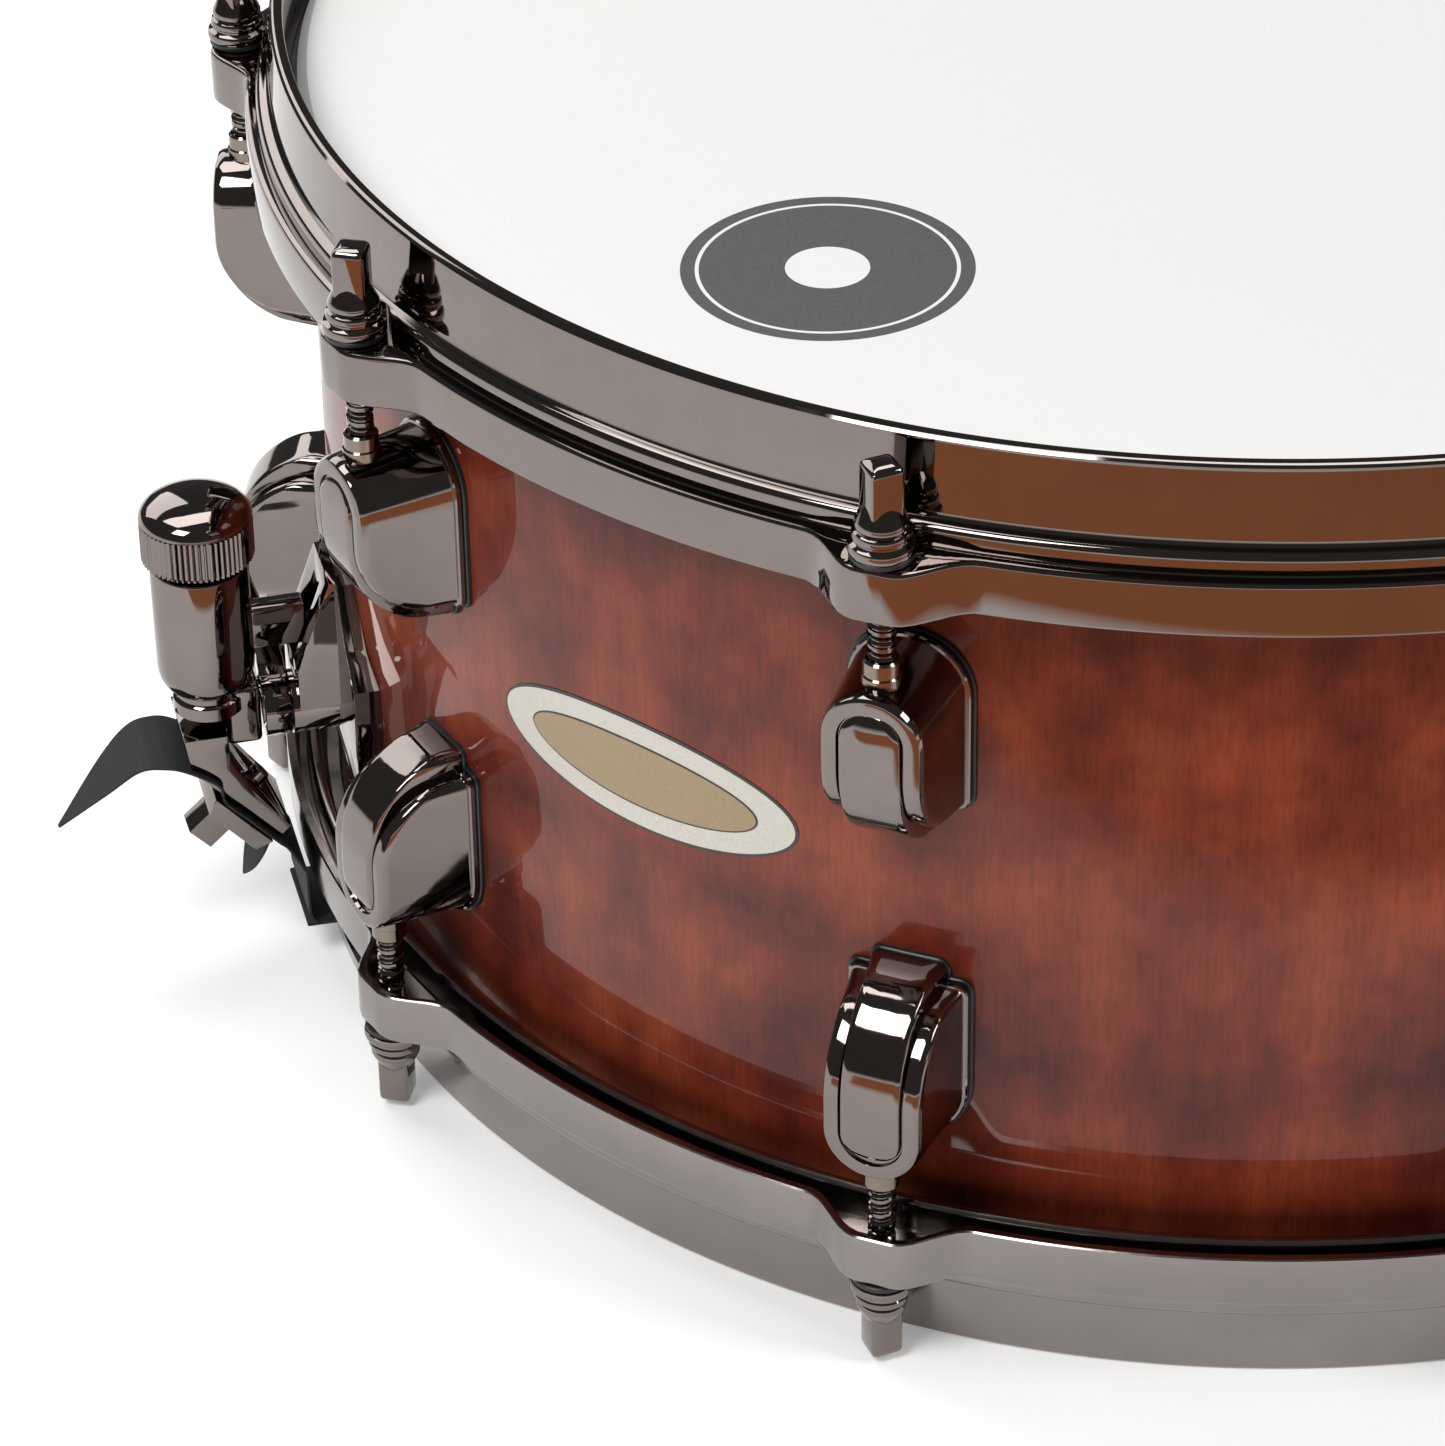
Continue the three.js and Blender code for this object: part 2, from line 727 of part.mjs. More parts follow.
const strapLow = endPlateLow - playGap - strapThickness / 2;
const strapRise = flangeRadius + playGap + strapThickness / 2;
const underDrum = [
  [strandEnd - 2, strapLow],
  [strapRise - 3, strapLow],
  [strapRise - 0.8, strapLow + 0.6],
  [strapRise + 0.3, strapLow + 2.2],
  [strapRise + 0.5, strapLow + 5.5],
];

function strainerStrap() {
  const turnHigh = strapLow + 5.5;
  const entry = clampPoint(-12, 0);
  const path = [
    ...underDrum,
    [strapRise + 0.6, turnHigh + 0.54 * (entry[1] - turnHigh)],
    entry,
    clampPoint(-8, 0),
    clampPoint(8, 0),
    clampPoint(16, 0.2),
    [clampReach + 14.3, clampHeight + 14.5],
    [clampReach + 19.8, clampHeight + 14],
    [clampReach + 26.3, clampHeight + 8.5],
    [clampReach + 36.3, clampHeight - 2],
  ];
  const tail = [0.9, 0.8, 0.62, 0.06];
  const halves = path.map((point, i) => {
    const fromTail = i - (path.length - tail.length);
    return (strapWidth / 2) * (fromTail < 0 ? 1 : tail[fromTail]);
  });
  const strap = toSolid(ribbon(path, halves));
  return strap.subtract(clampBar(-2, 2, boltRadius + playGap, 10));
}

function buttStrap() {
  const path = [
    ...underDrum,
    [buttStrapReach, buttLow - 14],
    [buttStrapReach, buttHigh + 3],
  ];
  const strap = toSolid(ribbon(path, path.map(() => strapWidth / 2)));
  return strap.rotate([0, 0, 180]);
}

add('snare_wires', toGeometry(wiresSolid()), looks.steel);
add('strap_strainer', toGeometry(strainerStrap()), looks.strap);
add('strap_butt', toGeometry(buttStrap()), looks.strap);

export default group;
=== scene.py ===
import json
import math
import bpy
import bmesh
from mathutils import Matrix, Vector

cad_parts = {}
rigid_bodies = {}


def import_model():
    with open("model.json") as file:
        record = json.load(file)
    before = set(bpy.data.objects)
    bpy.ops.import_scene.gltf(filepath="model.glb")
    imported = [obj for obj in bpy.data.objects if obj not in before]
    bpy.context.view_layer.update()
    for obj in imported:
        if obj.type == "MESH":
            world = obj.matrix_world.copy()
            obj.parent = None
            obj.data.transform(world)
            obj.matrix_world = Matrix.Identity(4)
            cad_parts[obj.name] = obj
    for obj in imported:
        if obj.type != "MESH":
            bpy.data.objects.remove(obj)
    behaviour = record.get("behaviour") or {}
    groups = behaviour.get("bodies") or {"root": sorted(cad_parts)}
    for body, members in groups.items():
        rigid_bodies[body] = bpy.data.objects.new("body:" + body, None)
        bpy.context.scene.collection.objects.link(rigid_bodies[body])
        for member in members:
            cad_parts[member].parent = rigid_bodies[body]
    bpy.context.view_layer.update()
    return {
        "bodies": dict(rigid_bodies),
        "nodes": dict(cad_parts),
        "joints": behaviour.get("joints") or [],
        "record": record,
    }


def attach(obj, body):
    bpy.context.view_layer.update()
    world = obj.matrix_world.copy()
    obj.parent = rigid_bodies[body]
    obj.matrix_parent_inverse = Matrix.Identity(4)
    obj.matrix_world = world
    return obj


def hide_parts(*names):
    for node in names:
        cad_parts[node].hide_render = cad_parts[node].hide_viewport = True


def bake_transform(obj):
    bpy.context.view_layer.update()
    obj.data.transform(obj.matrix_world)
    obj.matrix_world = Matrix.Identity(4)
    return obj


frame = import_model()

mm = 0.001
sharpTurn = 32  # degrees past which an edge stays sharp
bevelTurn = 40  # the same, for a piece with bevelled edges
weldReach = 1e-7  # points nearer than this, in metres, become one

# The drum's own sizes in millimetres, shared by every piece.
drum = {
    "shellRadius": 177.8,
    "height": 189.1,
    "edgeLow": 12,
    "edgeHigh": 177.1,
    "lugCount": 10,
    "rodCircle": 192.2,
    "archCentre": 136.1,
}


# Small helpers.
def newObject(name, mesh):
    piece = bpy.data.objects.new(name, mesh)
    bpy.context.scene.collection.objects.link(piece)
    return piece


def meshPiece(name, points, faces, sharpAngle=sharpTurn):
    mesh = bpy.data.meshes.new(name)
    mesh.from_pydata([(x * mm, y * mm, z * mm) for x, y, z in points], [], faces)
    mesh.validate()
    shade(mesh, sharpAngle)
    return newObject(name, mesh)


def shade(mesh, sharpAngle):
    mesh.shade_smooth()
    mesh.set_sharp_from_angle(angle=math.radians(sharpAngle))


def bake(piece):
    # Turns whatever the modifiers make into a plain mesh.
    graph = bpy.context.evaluated_depsgraph_get()
    graph.update()
    mesh = bpy.data.meshes.new_from_object(piece.evaluated_get(graph), depsgraph=graph)
    piece.modifiers.clear()
    old = piece.data
    piece.data = mesh
    mesh.name = piece.name
    if old.users == 0:
        bpy.data.meshes.remove(old)
    return piece


def bevelled(piece, width, segments=3, angle=sharpTurn):
    bevel = piece.modifiers.new("edges", "BEVEL")
    bevel.width = width * mm
    bevel.segments = segments
    bevel.limit_method = "ANGLE"
    bevel.angle_limit = math.radians(angle)
    bevel.use_clamp_overlap = True
    bake(piece)
    shade(piece.data, bevelTurn)
    return piece


def cut(piece, cutter):
    boolean = piece.modifiers.new("cut", "BOOLEAN")
    boolean.operation = "DIFFERENCE"
    boolean.solver = "EXACT"
    boolean.object = cutter
    bake(piece)
    shade(piece.data, sharpTurn)
    bpy.data.objects.remove(cutter)
    return piece


def joined(name, pieces):
    merged = bmesh.new()
    for piece in pieces:
        merged.from_mesh(piece.data)
        bpy.data.objects.remove(piece)
    mesh = bpy.data.meshes.new(name)
    merged.to_mesh(mesh)
    merged.free()
    shade(mesh, sharpTurn)
    return newObject(name, mesh)


def dress(piece, material, body, nodes=()):
    piece.data.materials.clear()
    piece.data.materials.append(material)
    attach(piece, body)
    if nodes:
        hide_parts(*nodes)
    return piece


def turnOver(piece):
    # What was made for the top of the drum, turned over for the bottom.
    lift = Matrix.Translation((0, 0, drum["height"] * mm))
    piece.data.transform(lift @ Matrix.Scale(-1, 4, (0, 0, 1)))
    piece.data.flip_normals()
    return piece


# A closed (radius, height) outline turned about a vertical line at centre.
def turned(name, outline, segments=96, centre=(0, 0), sharpAngle=sharpTurn):
    points = []
    faces = []
    count = len(outline)
    for step in range(segments):
        angle = 2 * math.pi * step / segments
        cosine, sine = math.cos(angle), math.sin(angle)
        for radius, height in outline:
            points.append((centre[0] + radius * cosine, centre[1] + radius * sine, height))
    for step in range(segments):
        near = step * count
        far = ((step + 1) % segments) * count
        for k in range(count):
            m = (k + 1) % count
            faces.append((near + k, far + k, far + m, near + m))
    piece = meshPiece(name, points, faces, sharpAngle)
    return tidy(piece)


def bands(loops, count):
    # Faces between each closed loop of points and the next one.
    faces = []
    for k in range(loops - 1):
        for i in range(count):
            j = (i + 1) % count
            faces.append((k * count + i, k * count + j, (k + 1) * count + j, (k + 1) * count + i))
    return faces


def endCaps(loops, count):
    # One face over the first loop and one over the last.
    return [tuple(reversed(range(count))), tuple(range((loops - 1) * count, loops * count))]


def tidy(piece, sharpAngle=sharpTurn):
    shell = bmesh.new()
    shell.from_mesh(piece.data)
    bmesh.ops.remove_doubles(shell, verts=shell.verts, dist=weldReach)
    bmesh.ops.dissolve_degenerate(shell, edges=shell.edges, dist=weldReach / 10)
    bmesh.ops.recalc_face_normals(shell, faces=shell.faces)
    shell.to_mesh(piece.data)
    shell.free()
    shade(piece.data, sharpAngle)
    return piece


def upright(name, x, y, low, high, radius, segments=32):
    return turned(name, [(0, low), (radius, low), (radius, high), (0, high)], segments, (x, y))


def around(angle, radius, height):
    # Angle in degrees from the -Y side, counter-clockwise seen from above.
    turn = math.radians(angle)
    return (radius * math.sin(turn), -radius * math.cos(turn), height)


# Materials.
def startMaterial(name, **values):
    material = bpy.data.materials.new(name)
    material.use_nodes = True
    shader = material.node_tree.nodes["Principled BSDF"]
    for key, value in values.items():
        shader.inputs[key].default_value = value
    return material, material.node_tree, shader


def addNode(tree, kind, **values):
    node = tree.nodes.new(kind)
    for key, value in values.items():
        setattr(node, key, value)
    return node


def mathNode(tree, operation, first, second=None):
    node = addNode(tree, "ShaderNodeMath", operation=operation)
    for index, value in enumerate((first, second)):
        if value is None:
            continue
        if isinstance(value, (int, float)):
            node.inputs[index].default_value = value
        else:
            tree.links.new(value, node.inputs[index])
    return node.outputs[0]


def ramp(tree, factor, stops):
    node = addNode(tree, "ShaderNodeValToRGB")
    tree.links.new(factor, node.inputs["Fac"])
    while len(node.color_ramp.elements) < len(stops):
        node.color_ramp.elements.new(0.5)
    for element, (position, colour) in zip(node.color_ramp.elements, stops):
        element.position = position
        element.color = (*colour, 1)
    return node.outputs["Color"]


def noise(tree, vector, scale, detail=4, roughness=0.5):
    node = addNode(tree, "ShaderNodeTexNoise")
    node.inputs["Scale"].default_value = scale
    node.inputs["Detail"].default_value = detail
    node.inputs["Roughness"].default_value = roughness
    tree.links.new(vector, node.inputs["Vector"])
    return node.outputs["Fac"]


def stretched(tree, vector, scale):
    node = addNode(tree, "ShaderNodeMapping")
    node.inputs["Scale"].default_value = scale
    tree.links.new(vector, node.inputs["Vector"])
    return node.outputs["Vector"]


def bumped(tree, shader, height, strength, distance):
    node = addNode(tree, "ShaderNodeBump")
    node.inputs["Strength"].default_value = strength
    node.inputs["Distance"].default_value = distance
    tree.links.new(height, node.inputs["Height"])
    tree.links.new(node.outputs["Normal"], shader.inputs["Normal"])


def mixColour(tree, factor, first, second, blendType="MIX"):
    node = addNode(tree, "ShaderNodeMix", data_type="RGBA", blend_type=blendType)
    for key, value in ((0, factor), (6, first), (7, second)):
        if isinstance(value, (int, float)):
            node.inputs[key].default_value = value
        elif isinstance(value, tuple):
            node.inputs[key].default_value = (*value, 1)
        else:
            tree.links.new(value, node.inputs[key])
    return node.outputs[2]


plating = {
    "hazeScale": 90,
    "hazeShade": 0.92,
    "hazeBand": (0.3, 0.7),
    "dullScale": 320,
    "dullBand": (0.3, 0.75),
    "waveStrength": 0.12,
}


def metal(name, colour, smoothness, roughest, wave, depth):
    # A plated casting: slow waviness from polishing, and a light haze that varies.
    material, tree, shader = startMaterial(name, Metallic=1.0)
    place = addNode(tree, "ShaderNodeTexCoord").outputs["Object"]
    haze = noise(tree, place, plating["hazeScale"], 5, 0.6)
    darker = tuple(c * plating["hazeShade"] for c in colour)
    start, end = plating["hazeBand"]
    tint = ramp(tree, haze, [(start, darker), (end, colour)])
    tree.links.new(tint, shader.inputs["Base Color"])
    spread = addNode(tree, "ShaderNodeMapRange")
    tree.links.new(noise(tree, place, plating["dullScale"], 3, 0.6), spread.inputs["Value"])
    spread.inputs["From Min"].default_value, spread.inputs["From Max"].default_value = plating["dullBand"]
    spread.inputs["To Min"].default_value = smoothness
    spread.inputs["To Max"].default_value = roughest
    tree.links.new(spread.outputs["Result"], shader.inputs["Roughness"])
    bumped(tree, shader, noise(tree, place, wave, 2, 0.4), plating["waveStrength"], depth * mm)
    return material


def lacqueredWood(values):
    material, tree, shader = startMaterial("lacqueredWood", **values["shader"])
    place = addNode(tree, "ShaderNodeTexCoord").outputs["Object"]
    parts = addNode(tree, "ShaderNodeSeparateXYZ")
    tree.links.new(place, parts.inputs[0])
    back = mathNode(tree, "MULTIPLY", parts.outputs["Y"], -1.0)
    turn = mathNode(tree, "ARCTAN2", parts.outputs["X"], back)
    # Distance round the shell, folded at each joint so the leaves are book-matched.
    length = mathNode(tree, "MULTIPLY", turn, drum["shellRadius"] * mm)
    shifted = mathNode(tree, "ADD", length, values["jointShift"] * mm)
    folded = mathNode(tree, "PINGPONG", shifted, values["leafWidth"] * mm)
    leaf = mathNode(tree, "FLOOR", mathNode(tree, "DIVIDE", shifted, values["leafWidth"] * mm))
    flat = addNode(tree, "ShaderNodeCombineXYZ")
    tree.links.new(folded, flat.inputs["X"])
    tree.links.new(parts.outputs["Z"], flat.inputs["Z"])
    surface = flat.outputs[0]
    colour = None
    for layer in values["layers"]:
        drawn = stretched(tree, surface, layer["stretch"])
        figure = noise(tree, drawn, layer["scale"], layer["detail"], layer["roughness"])
        tint = ramp(tree, figure, layer["colours"])
        if colour is None:
            colour = tint
        else:
            colour = mixColour(tree, layer["share"], colour, tint, layer["mix"])
    every = addNode(tree, "ShaderNodeTexWhiteNoise", noise_dimensions="1D")
    tree.links.new(leaf, every.inputs["W"])
    leafTint = ramp(tree, every.outputs["Value"], values["leafTints"])
    colour = mixColour(tree, 1.0, colour, leafTint, "MULTIPLY")
    tree.links.new(colour, shader.inputs["Base Color"])
    wave = noise(tree, surface, values["waveScale"], 2, 0.4)
    bumped(tree, shader, wave, values["waveStrength"], values["waveDepth"] * mm)
    return material


def printedFilm(values):
    # White coated film with one round grey print on it.
    material, tree, shader = startMaterial("coatedFilm", Roughness=0.62)
    place = addNode(tree, "ShaderNodeTexCoord").outputs["Object"]
    parts = addNode(tree, "ShaderNodeSeparateXYZ")
    tree.links.new(place, parts.inputs[0])
    dx = mathNode(tree, "SUBTRACT", parts.outputs["X"], values["printX"] * mm)
    dy = mathNode(tree, "SUBTRACT", parts.outputs["Y"], values["printY"] * mm)
    xx = mathNode(tree, "MULTIPLY", dx, dx)
    yy = mathNode(tree, "MULTIPLY", dy, dy)
    reach = mathNode(tree, "SQRT", mathNode(tree, "ADD", xx, yy))
    disc = mathNode(tree, "LESS_THAN", reach, values["printRadius"] * mm)
    outer = mathNode(tree, "LESS_THAN", reach, values["ringRadius"] * mm)
    inner = mathNode(tree, "GREATER_THAN", reach, (values["ringRadius"] - values["ringWidth"]) * mm)
    ring = mathNode(tree, "MULTIPLY", outer, inner)
    dot = mathNode(tree, "LESS_THAN", reach, values["dotRadius"] * mm)
    ink = mathNode(tree, "SUBTRACT", disc, mathNode(tree, "ADD", ring, dot))
    grain = noise(tree, place, values["grainScale"], 3, 0.6)
    paper = ramp(tree, grain, values["filmStops"])
    grey = ramp(tree, grain, values["inkStops"])
    tree.links.new(mixColour(tree, ink, paper, grey), shader.inputs["Base Color"])
    bumped(tree, shader, grain, values["grainStrength"], values["grainDepth"] * mm)
    return material


def plain(name, colour, roughness, grainScale, grainDepth, **more):
    # One colour with a fine grain that darkens and dents it a little.
    material, tree, shader = startMaterial(name, **more)
    place = addNode(tree, "ShaderNodeTexCoord").outputs["Object"]
    grain = noise(tree, place, grainScale, 4, 0.6)
    tint = ramp(tree, grain, [(0.3, tuple(c * 0.85 for c in colour)), (0.7, colour)])
    tree.links.new(tint, shader.inputs["Base Color"])
    shader.inputs["Roughness"].default_value = roughness
    bumped(tree, shader, grain, 0.2, grainDepth * mm)
    return material


def wovenStrap(values):
    material, tree, shader = startMaterial("wovenStrap", Roughness=0.75)
    place = addNode(tree, "ShaderNodeTexCoord").outputs["Object"]
    parts = addNode(tree, "ShaderNodeSeparateXYZ")
    tree.links.new(place, parts.inputs[0])
    across = mathNode(tree, "SINE", mathNode(tree, "MULTIPLY", parts.outputs["Y"], values["threads"]))
    along = mathNode(tree, "SINE", mathNode(tree, "MULTIPLY", parts.outputs["Z"], values["threads"]))
    weave = mathNode(tree, "MULTIPLY", across, along)
    tint = ramp(tree, weave, [(0.0, values["dark"]), (1.0, values["light"])])
    tree.links.new(tint, shader.inputs["Base Color"])
    bumped(tree, shader, weave, values["strength"], values["depth"] * mm)
    return material


badgeCoat = {"Metallic": 0.4, "Coat Weight": 0.6}

finishes = {
    "nickel": metal("darkNickel", (0.205, 0.178, 0.164), 0.03, 0.07, 22, 0.5),
    "satin": metal("satinNickel", (0.265, 0.242, 0.230), 0.13, 0.22, 60, 0.3),
    "steel": metal("brightSteel", (0.62, 0.61, 0.60), 0.12, 0.24, 200, 0.1),
    "brass": metal("paleBrass", (0.23, 0.19, 0.155), 0.08, 0.16, 120, 0.2),
    "wood": lacqueredWood({
        "shader": {
            "Roughness": 0.5, "Specular IOR Level": 0.1,
            "Coat Weight": 0.6, "Coat Roughness": 0.02, "Coat IOR": 1.45,
        },
        "jointShift": 59,
        "leafWidth": 112,
        # Cloudy mottle first, then grain lines, ripple and dark pores laid over it.
        "layers": [
            {"stretch": (1.0, 1.0, 0.8), "scale": 34, "detail": 4, "roughness": 0.55, "colours": [
                (0.36, (0.085, 0.010, 0.006)), (0.5, (0.175, 0.026, 0.011)),
                (0.66, (0.29, 0.055, 0.020))]},
            {"stretch": (1.0, 1.0, 0.06), "scale": 900, "detail": 6, "roughness": 0.65, "colours": [
                (0.3, (0.33, 0.33, 0.33)), (0.7, (0.62, 0.6, 0.58))], "share": 0.55, "mix": "OVERLAY"},
            {"stretch": (0.35, 1.0, 1.0), "scale": 60, "detail": 2, "roughness": 0.5, "colours": [
                (0.3, (0.4, 0.4, 0.4)), (0.7, (0.6, 0.6, 0.6))], "share": 0.35, "mix": "OVERLAY"},
            {"stretch": (1.0, 1.0, 0.13), "scale": 1500, "detail": 2, "roughness": 0.5, "colours": [
                (0.3, (0.62, 0.55, 0.5)), (0.5, (1.0, 1.0, 1.0))], "share": 0.5, "mix": "MULTIPLY"},
        ],
        "leafTints": [(0.0, (0.92, 0.9, 0.9)), (1.0, (1.12, 1.1, 1.05))],
        "waveScale": 14,
        "waveStrength": 0.05,
        "waveDepth": 0.15,
    }),
    "film": printedFilm({
        "filmStops": [(0.3, (0.675, 0.668, 0.66)), (0.7, (0.6885, 0.68136, 0.6732))],
        "inkStops": [(0.35, (0.06, 0.056, 0.056)), (0.6, (0.075, 0.07, 0.07))],
        "grainScale": 1500,
        "grainStrength": 0.25,
        "grainDepth": 0.05,
        "printX": -100,
        "printY": -72.4,
        "printRadius": 26,
        "ringRadius": 23.4,
        "ringWidth": 0.7,
        "dotRadius": 7.5,
    }),
    "snareFilm": plain("clearFilm", (0.80, 0.80, 0.79), 0.25, 60, 0.02, **{"Transmission Weight": 0.35}),
    "rubber": plain("blackRubber", (0.012, 0.016, 0.018), 0.38, 900, 0.03),
    "nylon": plain("blackNylon", (0.016, 0.016, 0.017), 0.45, 700, 0.02),
    "strap": wovenStrap({
        "threads": 9000,
        "dark": (0.010, 0.010, 0.011),
        "light": (0.030, 0.029, 0.030),
        "strength": 0.3,
        "depth": 0.05,
    }),
    "badgeSilver": plain("badgeSilver", (0.62, 0.59, 0.52), 0.4, 1800, 0.03, **badgeCoat),
    "badgeBronze": plain("badgeBronze", (0.34, 0.24, 0.12), 0.4, 1800, 0.03, **badgeCoat),
    "badgeLine": plain("badgeLine", (0.03, 0.033, 0.035), 0.4, 900, 0.02),
}
print("materials made")


# Geometry node trees.
def newTree(name, sockets):
    tree = bpy.data.node_groups.new(name, "GeometryNodeTree")
    tree.interface.new_socket("Geometry", in_out="INPUT", socket_type="NodeSocketGeometry")
    for socketName, kind in sockets:
        tree.interface.new_socket(socketName, in_out="INPUT", socket_type="NodeSocket" + kind)
    tree.interface.new_socket("Geometry", in_out="OUTPUT", socket_type="NodeSocketGeometry")
    entry = tree.nodes.new("NodeGroupInput")
    return tree, entry.outputs


def wire(tree, kind, links=None, values=None, **settings):
    node = tree.nodes.new(kind)
    for key, value in settings.items():
        setattr(node, key, value)
    for key, value in (values or {}).items():
        node.inputs[key].default_value = value
    for key, source in (links or {}).items():
        tree.links.new(source, node.inputs[key])
    return node


def endTree(tree, geometry, material):
    realized = wire(tree, "GeometryNodeRealizeInstances", {"Geometry": geometry})
    painted = wire(tree, "GeometryNodeSetMaterial", {
        "Geometry": realized.outputs[0], "Material": material})
    wire(tree, "NodeGroupOutput", {0: painted.outputs[0]})
    return tree


def spacedRoundTree():
    # Copies of a piece turned about the drum's axis.
    tree, given = newTree("spacedRound", [
        ("Piece", "Object"), ("Count", "Int"), ("First Turn", "Float"), ("Material", "Material")])
    info = wire(tree, "GeometryNodeObjectInfo", {"Object": given["Piece"]})
    dots = wire(tree, "GeometryNodePoints", {"Count": given["Count"]})
    index = wire(tree, "GeometryNodeInputIndex")
    step = wire(tree, "ShaderNodeMath", {1: given["Count"]}, {0: 2 * math.pi}, operation="DIVIDE")
    angle = wire(tree, "ShaderNodeMath", {0: index.outputs[0], 1: step.outputs[0]}, operation="MULTIPLY")
    turn = wire(tree, "ShaderNodeMath", {0: angle.outputs[0], 1: given["First Turn"]}, operation="ADD")
    rotation = wire(tree, "ShaderNodeCombineXYZ", {"Z": turn.outputs[0]})
    copies = wire(tree, "GeometryNodeInstanceOnPoints", {
        "Points": dots.outputs[0], "Instance": info.outputs["Geometry"],
        "Rotation": rotation.outputs[0]})
    return endTree(tree, copies.outputs[0], given["Material"])


def helixTree():
    # A screw thread or a coil: a fine wire wound upwards from a given height.
    tree, given = newTree("helix", [
        ("Radius", "Float"), ("Wire", "Float"), ("Turns", "Float"), ("Height", "Float"),
        ("Sides", "Int"), ("Steps", "Int"), ("Start", "Vector"), ("Tilt", "Vector"),
        ("Count", "Int"), ("Spacing", "Vector"), ("Material", "Material")])
    spiral = wire(tree, "GeometryNodeCurveSpiral", {
        "Resolution": given["Steps"], "Rotations": given["Turns"], "Start Radius": given["Radius"],
        "End Radius": given["Radius"], "Height": given["Height"]})
    section = wire(tree, "GeometryNodeCurvePrimitiveCircle", {
        "Resolution": given["Sides"], "Radius": given["Wire"]})
    wound = wire(tree, "GeometryNodeCurveToMesh", {
        "Curve": spiral.outputs[0], "Profile Curve": section.outputs[0]}, {"Fill Caps": True})
    row = wire(tree, "GeometryNodeMeshLine", {
        "Count": given["Count"], "Start Location": given["Start"], "Offset": given["Spacing"]})
    turn = wire(tree, "FunctionNodeEulerToRotation", {0: given["Tilt"]})
    copies = wire(tree, "GeometryNodeInstanceOnPoints", {
        "Points": row.outputs[0], "Instance": wound.outputs[0], "Rotation": turn.outputs[0]})
    return endTree(tree, copies.outputs[0], given["Material"])


def flutesTree():
    # Upright ridges round a knob.
    tree, given = newTree("flutes", [
        ("Count", "Int"), ("Radius", "Float"), ("Size", "Vector"), ("Centre", "Vector"),
        ("Material", "Material")])
    ridge = wire(tree, "GeometryNodeMeshCube", {"Size": given["Size"]})
    dots = wire(tree, "GeometryNodePoints", {"Count": given["Count"]})
    index = wire(tree, "GeometryNodeInputIndex")
    step = wire(tree, "ShaderNodeMath", {1: given["Count"]}, {0: 2 * math.pi}, operation="DIVIDE")
    angle = wire(tree, "ShaderNodeMath", {0: index.outputs[0], 1: step.outputs[0]}, operation="MULTIPLY")
    cosine = wire(tree, "ShaderNodeMath", {0: angle.outputs[0]}, operation="COSINE")
    sine = wire(tree, "ShaderNodeMath", {0: angle.outputs[0]}, operation="SINE")
    way = wire(tree, "ShaderNodeCombineXYZ", {"X": cosine.outputs[0], "Y": sine.outputs[0]})
    reach = wire(
        tree, "ShaderNodeVectorMath", {0: way.outputs[0], "Scale": given["Radius"]}, operation="SCALE")
    spot = wire(tree, "ShaderNodeVectorMath", {0: reach.outputs[0], 1: given["Centre"]}, operation="ADD")
    placed = wire(tree, "GeometryNodeSetPosition", {
        "Geometry": dots.outputs[0], "Position": spot.outputs[0]})
    facing = wire(tree, "ShaderNodeMath", {0: angle.outputs[0]}, {1: math.pi / 4}, operation="ADD")
    rotation = wire(tree, "ShaderNodeCombineXYZ", {"Z": facing.outputs[0]})
    copies = wire(tree, "GeometryNodeInstanceOnPoints", {
        "Points": placed.outputs[0], "Instance": ridge.outputs[0], "Rotation": rotation.outputs[0]})
    return endTree(tree, copies.outputs[0], given["Material"])


trees = {"spacedRound": spacedRoundTree(), "helix": helixTree(), "flutes": flutesTree()}


def grow(name, treeName, values, sharpAngle=sharpTurn):
    piece = newObject(name, bpy.data.meshes.new(name))
    modifier = piece.modifiers.new("grow", "NODES")
    modifier.node_group = trees[treeName]
    for item in trees[treeName].interface.items_tree:
        if item.in_out == "INPUT" and item.name in values:
            modifier[item.identifier] = values[item.name]
    bake(piece)
    shade(piece.data, sharpAngle)
    return piece


def spaced(name, master, count, firstAngle, material):
    return grow(name, "spacedRound", {
        "Piece": master, "Count": count, "First Turn": math.radians(firstAngle), "Material": material})


print("geometry node trees built")

# Shell.
shellLook = {
    "segments": 240,
    # The bearing edge: in from the outer face, and down from the top.
    "edge": [(0, 1.9), (0.25, 1.2), (1.1, 0.12), (1.5, 0), (1.9, 0.2), (7, 5.5)],
    "ventAngle": 126,
    "ventHeight": 94.55,
    "ventRadius": 5,
    "ventReach": 20,
}


def makeShell(look):
    radius = drum["shellRadius"]
    upper = [(radius - inward, drum["edgeHigh"] - down) for inward, down in look["edge"]]
    lower = [(radius - inward, drum["edgeLow"] + down) for inward, down in look["edge"]]
    outline = [lower[0], *upper, *reversed(lower[1:])]
    shell = turned("woodShell", outline, look["segments"])
    hole = upright("ventCutter", 0, 0, -look["ventReach"], look["ventReach"], look["ventRadius"])
    hole.data.transform(
        Matrix.Rotation(math.radians(look["ventAngle"]), 4, "Z")
        @ Matrix.Translation((0, -radius * mm, look["ventHeight"] * mm))
        @ Matrix.Rotation(math.radians(90), 4, "X"))
    cut(shell, hole)
    return dress(shell, finishes["wood"], "drum_shell", ["shell"])


makeShell(shellLook)


refining = {
    "weldReach": 1e-6,
    "flatTurn": 1,  # degrees under which two faces count as one
    "bevelFrom": 30,  # degrees past which an edge is bevelled
}


